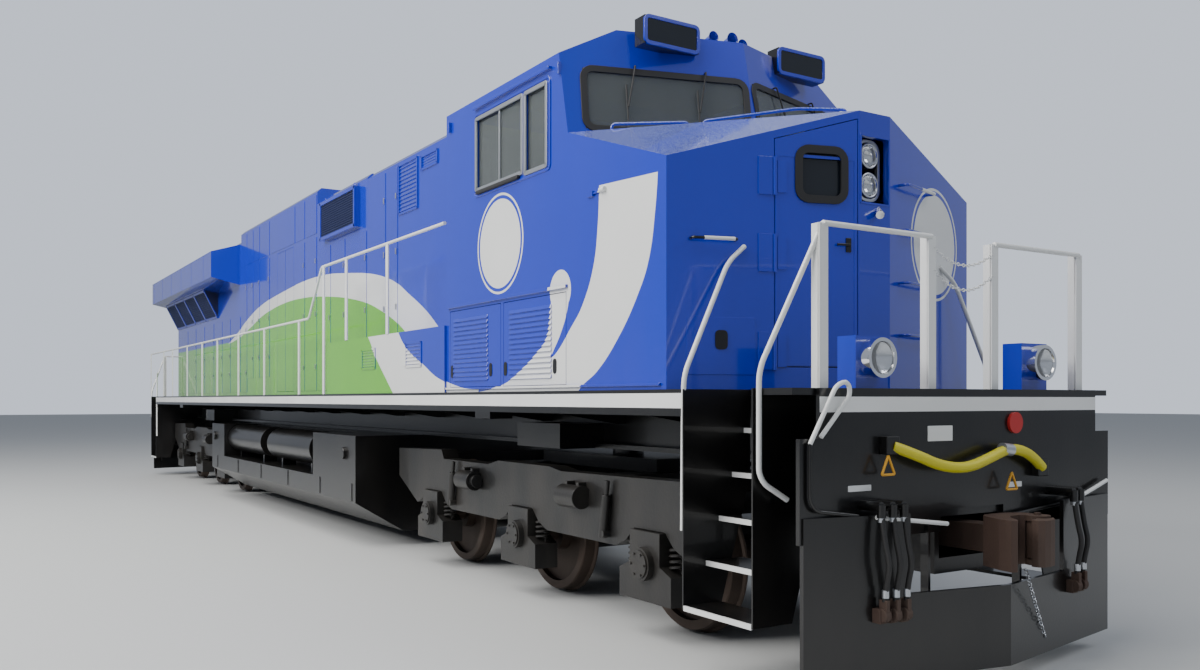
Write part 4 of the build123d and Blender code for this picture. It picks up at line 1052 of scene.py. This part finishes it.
LOOP_HANDLE = [
    (11.01, -1.44, 1.52), (11.03, -1.25, 1.86), (11.03, -1.16, 1.88), (11.03, -1.14, 1.80),
    (11.015, -1.36, 1.56),
]
bars("loop_handle", [LOOP_HANDLE], 0.014, "white", bend=0.05)
bars("cut_lever", [
    [(11.01, -1.44, 1.52), (11.01, -1.44, 1.20), (11.02, -1.40, 1.14), (11.05, -1.10, 1.10)],
    [(11.03, 0.35, 1.02), (11.03, 1.10, 1.08), (11.03, 1.42, 1.20)],
], 0.012, "black", bend=0.04)
bars("cut_lever_grips", [
    [(11.10, -1.00, 1.09), (11.13, -0.42, 1.02)], [(11.04, 0.95, 1.06), (11.04, 1.40, 1.20)],
], 0.014, "white")


def triangle(middle, height):
    """Three-sided pull handle hanging from its top."""
    top, low = (11.06, middle, height), height - 0.11
    return [top, (11.06, middle - 0.055, low), (11.06, middle + 0.055, low), top]


bars("pull_handles", [triangle(-0.86, 1.44), triangle(0.30, 1.30)], 0.008, "amber", bend=0.01)

work = bmesh.new()
drum(work, (11.0, 0.42, 1.62), ALONG, 0.070, 0.02, segments=32)
piece("red_disc", work, "red", smooth=True)
work = bmesh.new()
plate(work, END_FACE, (-1.12, -0.93), (1.235, 1.270), 0.003, corner=0.004)
plate(work, END_FACE, (-0.43, -0.20), (1.515, 1.610), 0.003, corner=0.004)
plate(work, END_FACE, (0.36, 0.50), (1.195, 1.230), 0.003, corner=0.004)
piece("blank_plates", work, "white")
work = bmesh.new()
for link in range(16):
    part_way = link / 15
    spot = (11.34 - 0.16 * part_way, 0.05 + 0.42 * part_way, 0.72 - 0.48 * part_way)
    ring(work, spot, (0.3, 1, 0) if link % 2 else (1, 0, 0.4), 0.013, 0.004, steps=10)
piece("safety_chain", work, "metal", smooth=True)

# Bogies: coil springs, brake cylinders, dampers and box covers. Distances ahead of the bogie's centre.
BRAKES = [(1.0, -1), (-1.0, 1)]
for bogie, centre in (("bogie_front", 7.05), ("bogie_rear", -7.05)):
    springs = bmesh.new()
    covers = bmesh.new()
    fittings = bmesh.new()
    for ahead in (2.0, 0.0, -2.0):
        for offset in (-0.262, 0.262):
            coil(springs, (centre + ahead + offset, -1.10, 0.53), 0.052, 0.012, 0.17, 4)
        drum(covers, (centre + ahead, -1.262, 0.5615), ACROSS, 0.105, 0.02, segments=32)
        for bolt in range(6):
            angle = bolt * pi / 3
            head = (centre + ahead + 0.085 * cos(angle), -1.276, 0.5615 + 0.085 * sin(angle))
            drum(covers, head, ACROSS, 0.010, 0.012, segments=6)
    for ahead, towards in BRAKES:
        x = centre + ahead
        drum(fittings, (x, -1.23, 0.98), ALONG, 0.095, 0.30, segments=28)
        drum(fittings, (x + towards * 0.17, -1.23, 0.98), ALONG, 0.060, 0.06, segments=24)
        block(fittings, (x - 0.11, -1.24, 0.93), (x - 0.07, -1.15, 1.10))
        block(fittings, (x + 0.07, -1.24, 0.93), (x + 0.11, -1.15, 1.10))
    for ahead in (1.45, -1.45):
        drum(fittings, (centre + ahead, -1.205, 0.86), (0.15, 0, 1), 0.036, 0.34, segments=20)
        drum(fittings, (centre + ahead + 0.03, -1.205, 1.06), (0.15, 0, 1), 0.020, 0.16, segments=16)
        drum(fittings, (centre + ahead, -1.20, 0.72), ACROSS, 0.03, 0.07, segments=16)
    piece(f"{bogie}_springs", springs, "gear", body=bogie, both=True, smooth=True)
    piece(f"{bogie}_box_covers", covers, "gear", body=bogie, both=True, smooth=True)
    piece(f"{bogie}_fittings", fittings, "gear", body=bogie, both=True, edges=0.003, smooth=True)

# Tank fittings
work = bmesh.new()
drum(work, (3.1, -1.512, 1.12), ACROSS, 0.075, 0.05, segments=28)
drum(work, (-4.1, -1.512, 1.12), ACROSS, 0.075, 0.05, segments=28)
for x in (-3.95, -2.40, -0.90, 0.60, 2.10, 3.35):
    block(work, (x - 0.03, -1.508, 0.56), (x + 0.03, -1.499, 0.77))
piece("tank_fittings", work, "black", both=True, edges=0.004, smooth=True)

# Seats: crowned cushions on pedestals

def cushion(name, low, high):
    """A soft block, its edges drawn in and its faces crowned."""
    work = bmesh.new()
    block(work, low, high)
    bmesh.ops.bevel(
        work, geom=work.edges[:], offset=0.03, segments=2, profile=0.5, affect="EDGES", material=-1)
    broad = [flat for flat in work.faces if flat.calc_area() > 0.1]
    bmesh.ops.inset_region(work, faces=broad, thickness=0.06, depth=0.018, use_even_offset=True)
    made = piece(name, work, "cloth", smooth=True)
    crown = made.modifiers.new("crown", "SUBSURF")
    crown.levels = 2
    crown.render_levels = 2
    return made


pedestals = bmesh.new()
for name, y in (("right", -0.95), ("left", 0.95)):
    squab = cushion(f"seat_squab_{name}", (6.96, y - 0.23, 2.92), (7.45, y + 0.23, 3.02))
    cushion(f"seat_back_{name}", (6.915, y - 0.23, 3.04), (6.995, y + 0.23, 3.74))
    drum(pedestals, (7.20, y, 2.70), UP, 0.07, 0.44)
    block(pedestals, (6.96, y - 0.20, 2.89), (7.42, y + 0.20, 2.92))
    block(pedestals, (6.91, y - 0.03, 2.90), (6.94, y + 0.03, 3.60))
    if y < 0:
        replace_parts(squab, "crew_seats")
piece("seat_pedestals", pedestals, "rubber", smooth=True)

# Floor

floor = bmesh.new()
bmesh.ops.create_grid(floor, x_segments=1, y_segments=1, size=120.0)
floor_mesh = bpy.data.meshes.new("floor")
floor.to_mesh(floor_mesh)
floor.free()
floor_piece = bpy.data.objects.new("floor", floor_mesh)
bpy.context.scene.collection.objects.link(floor_piece)
floor_paint = bpy.data.materials.new("floor_paint")
floor_paint.use_nodes = True
floor_paint.node_tree.nodes["Principled BSDF"].inputs["Base Color"].default_value = (0.50, 0.51, 0.51, 1.0)
floor_paint.node_tree.nodes["Principled BSDF"].inputs["Roughness"].default_value = 0.8
floor_mesh.materials.append(floor_paint)
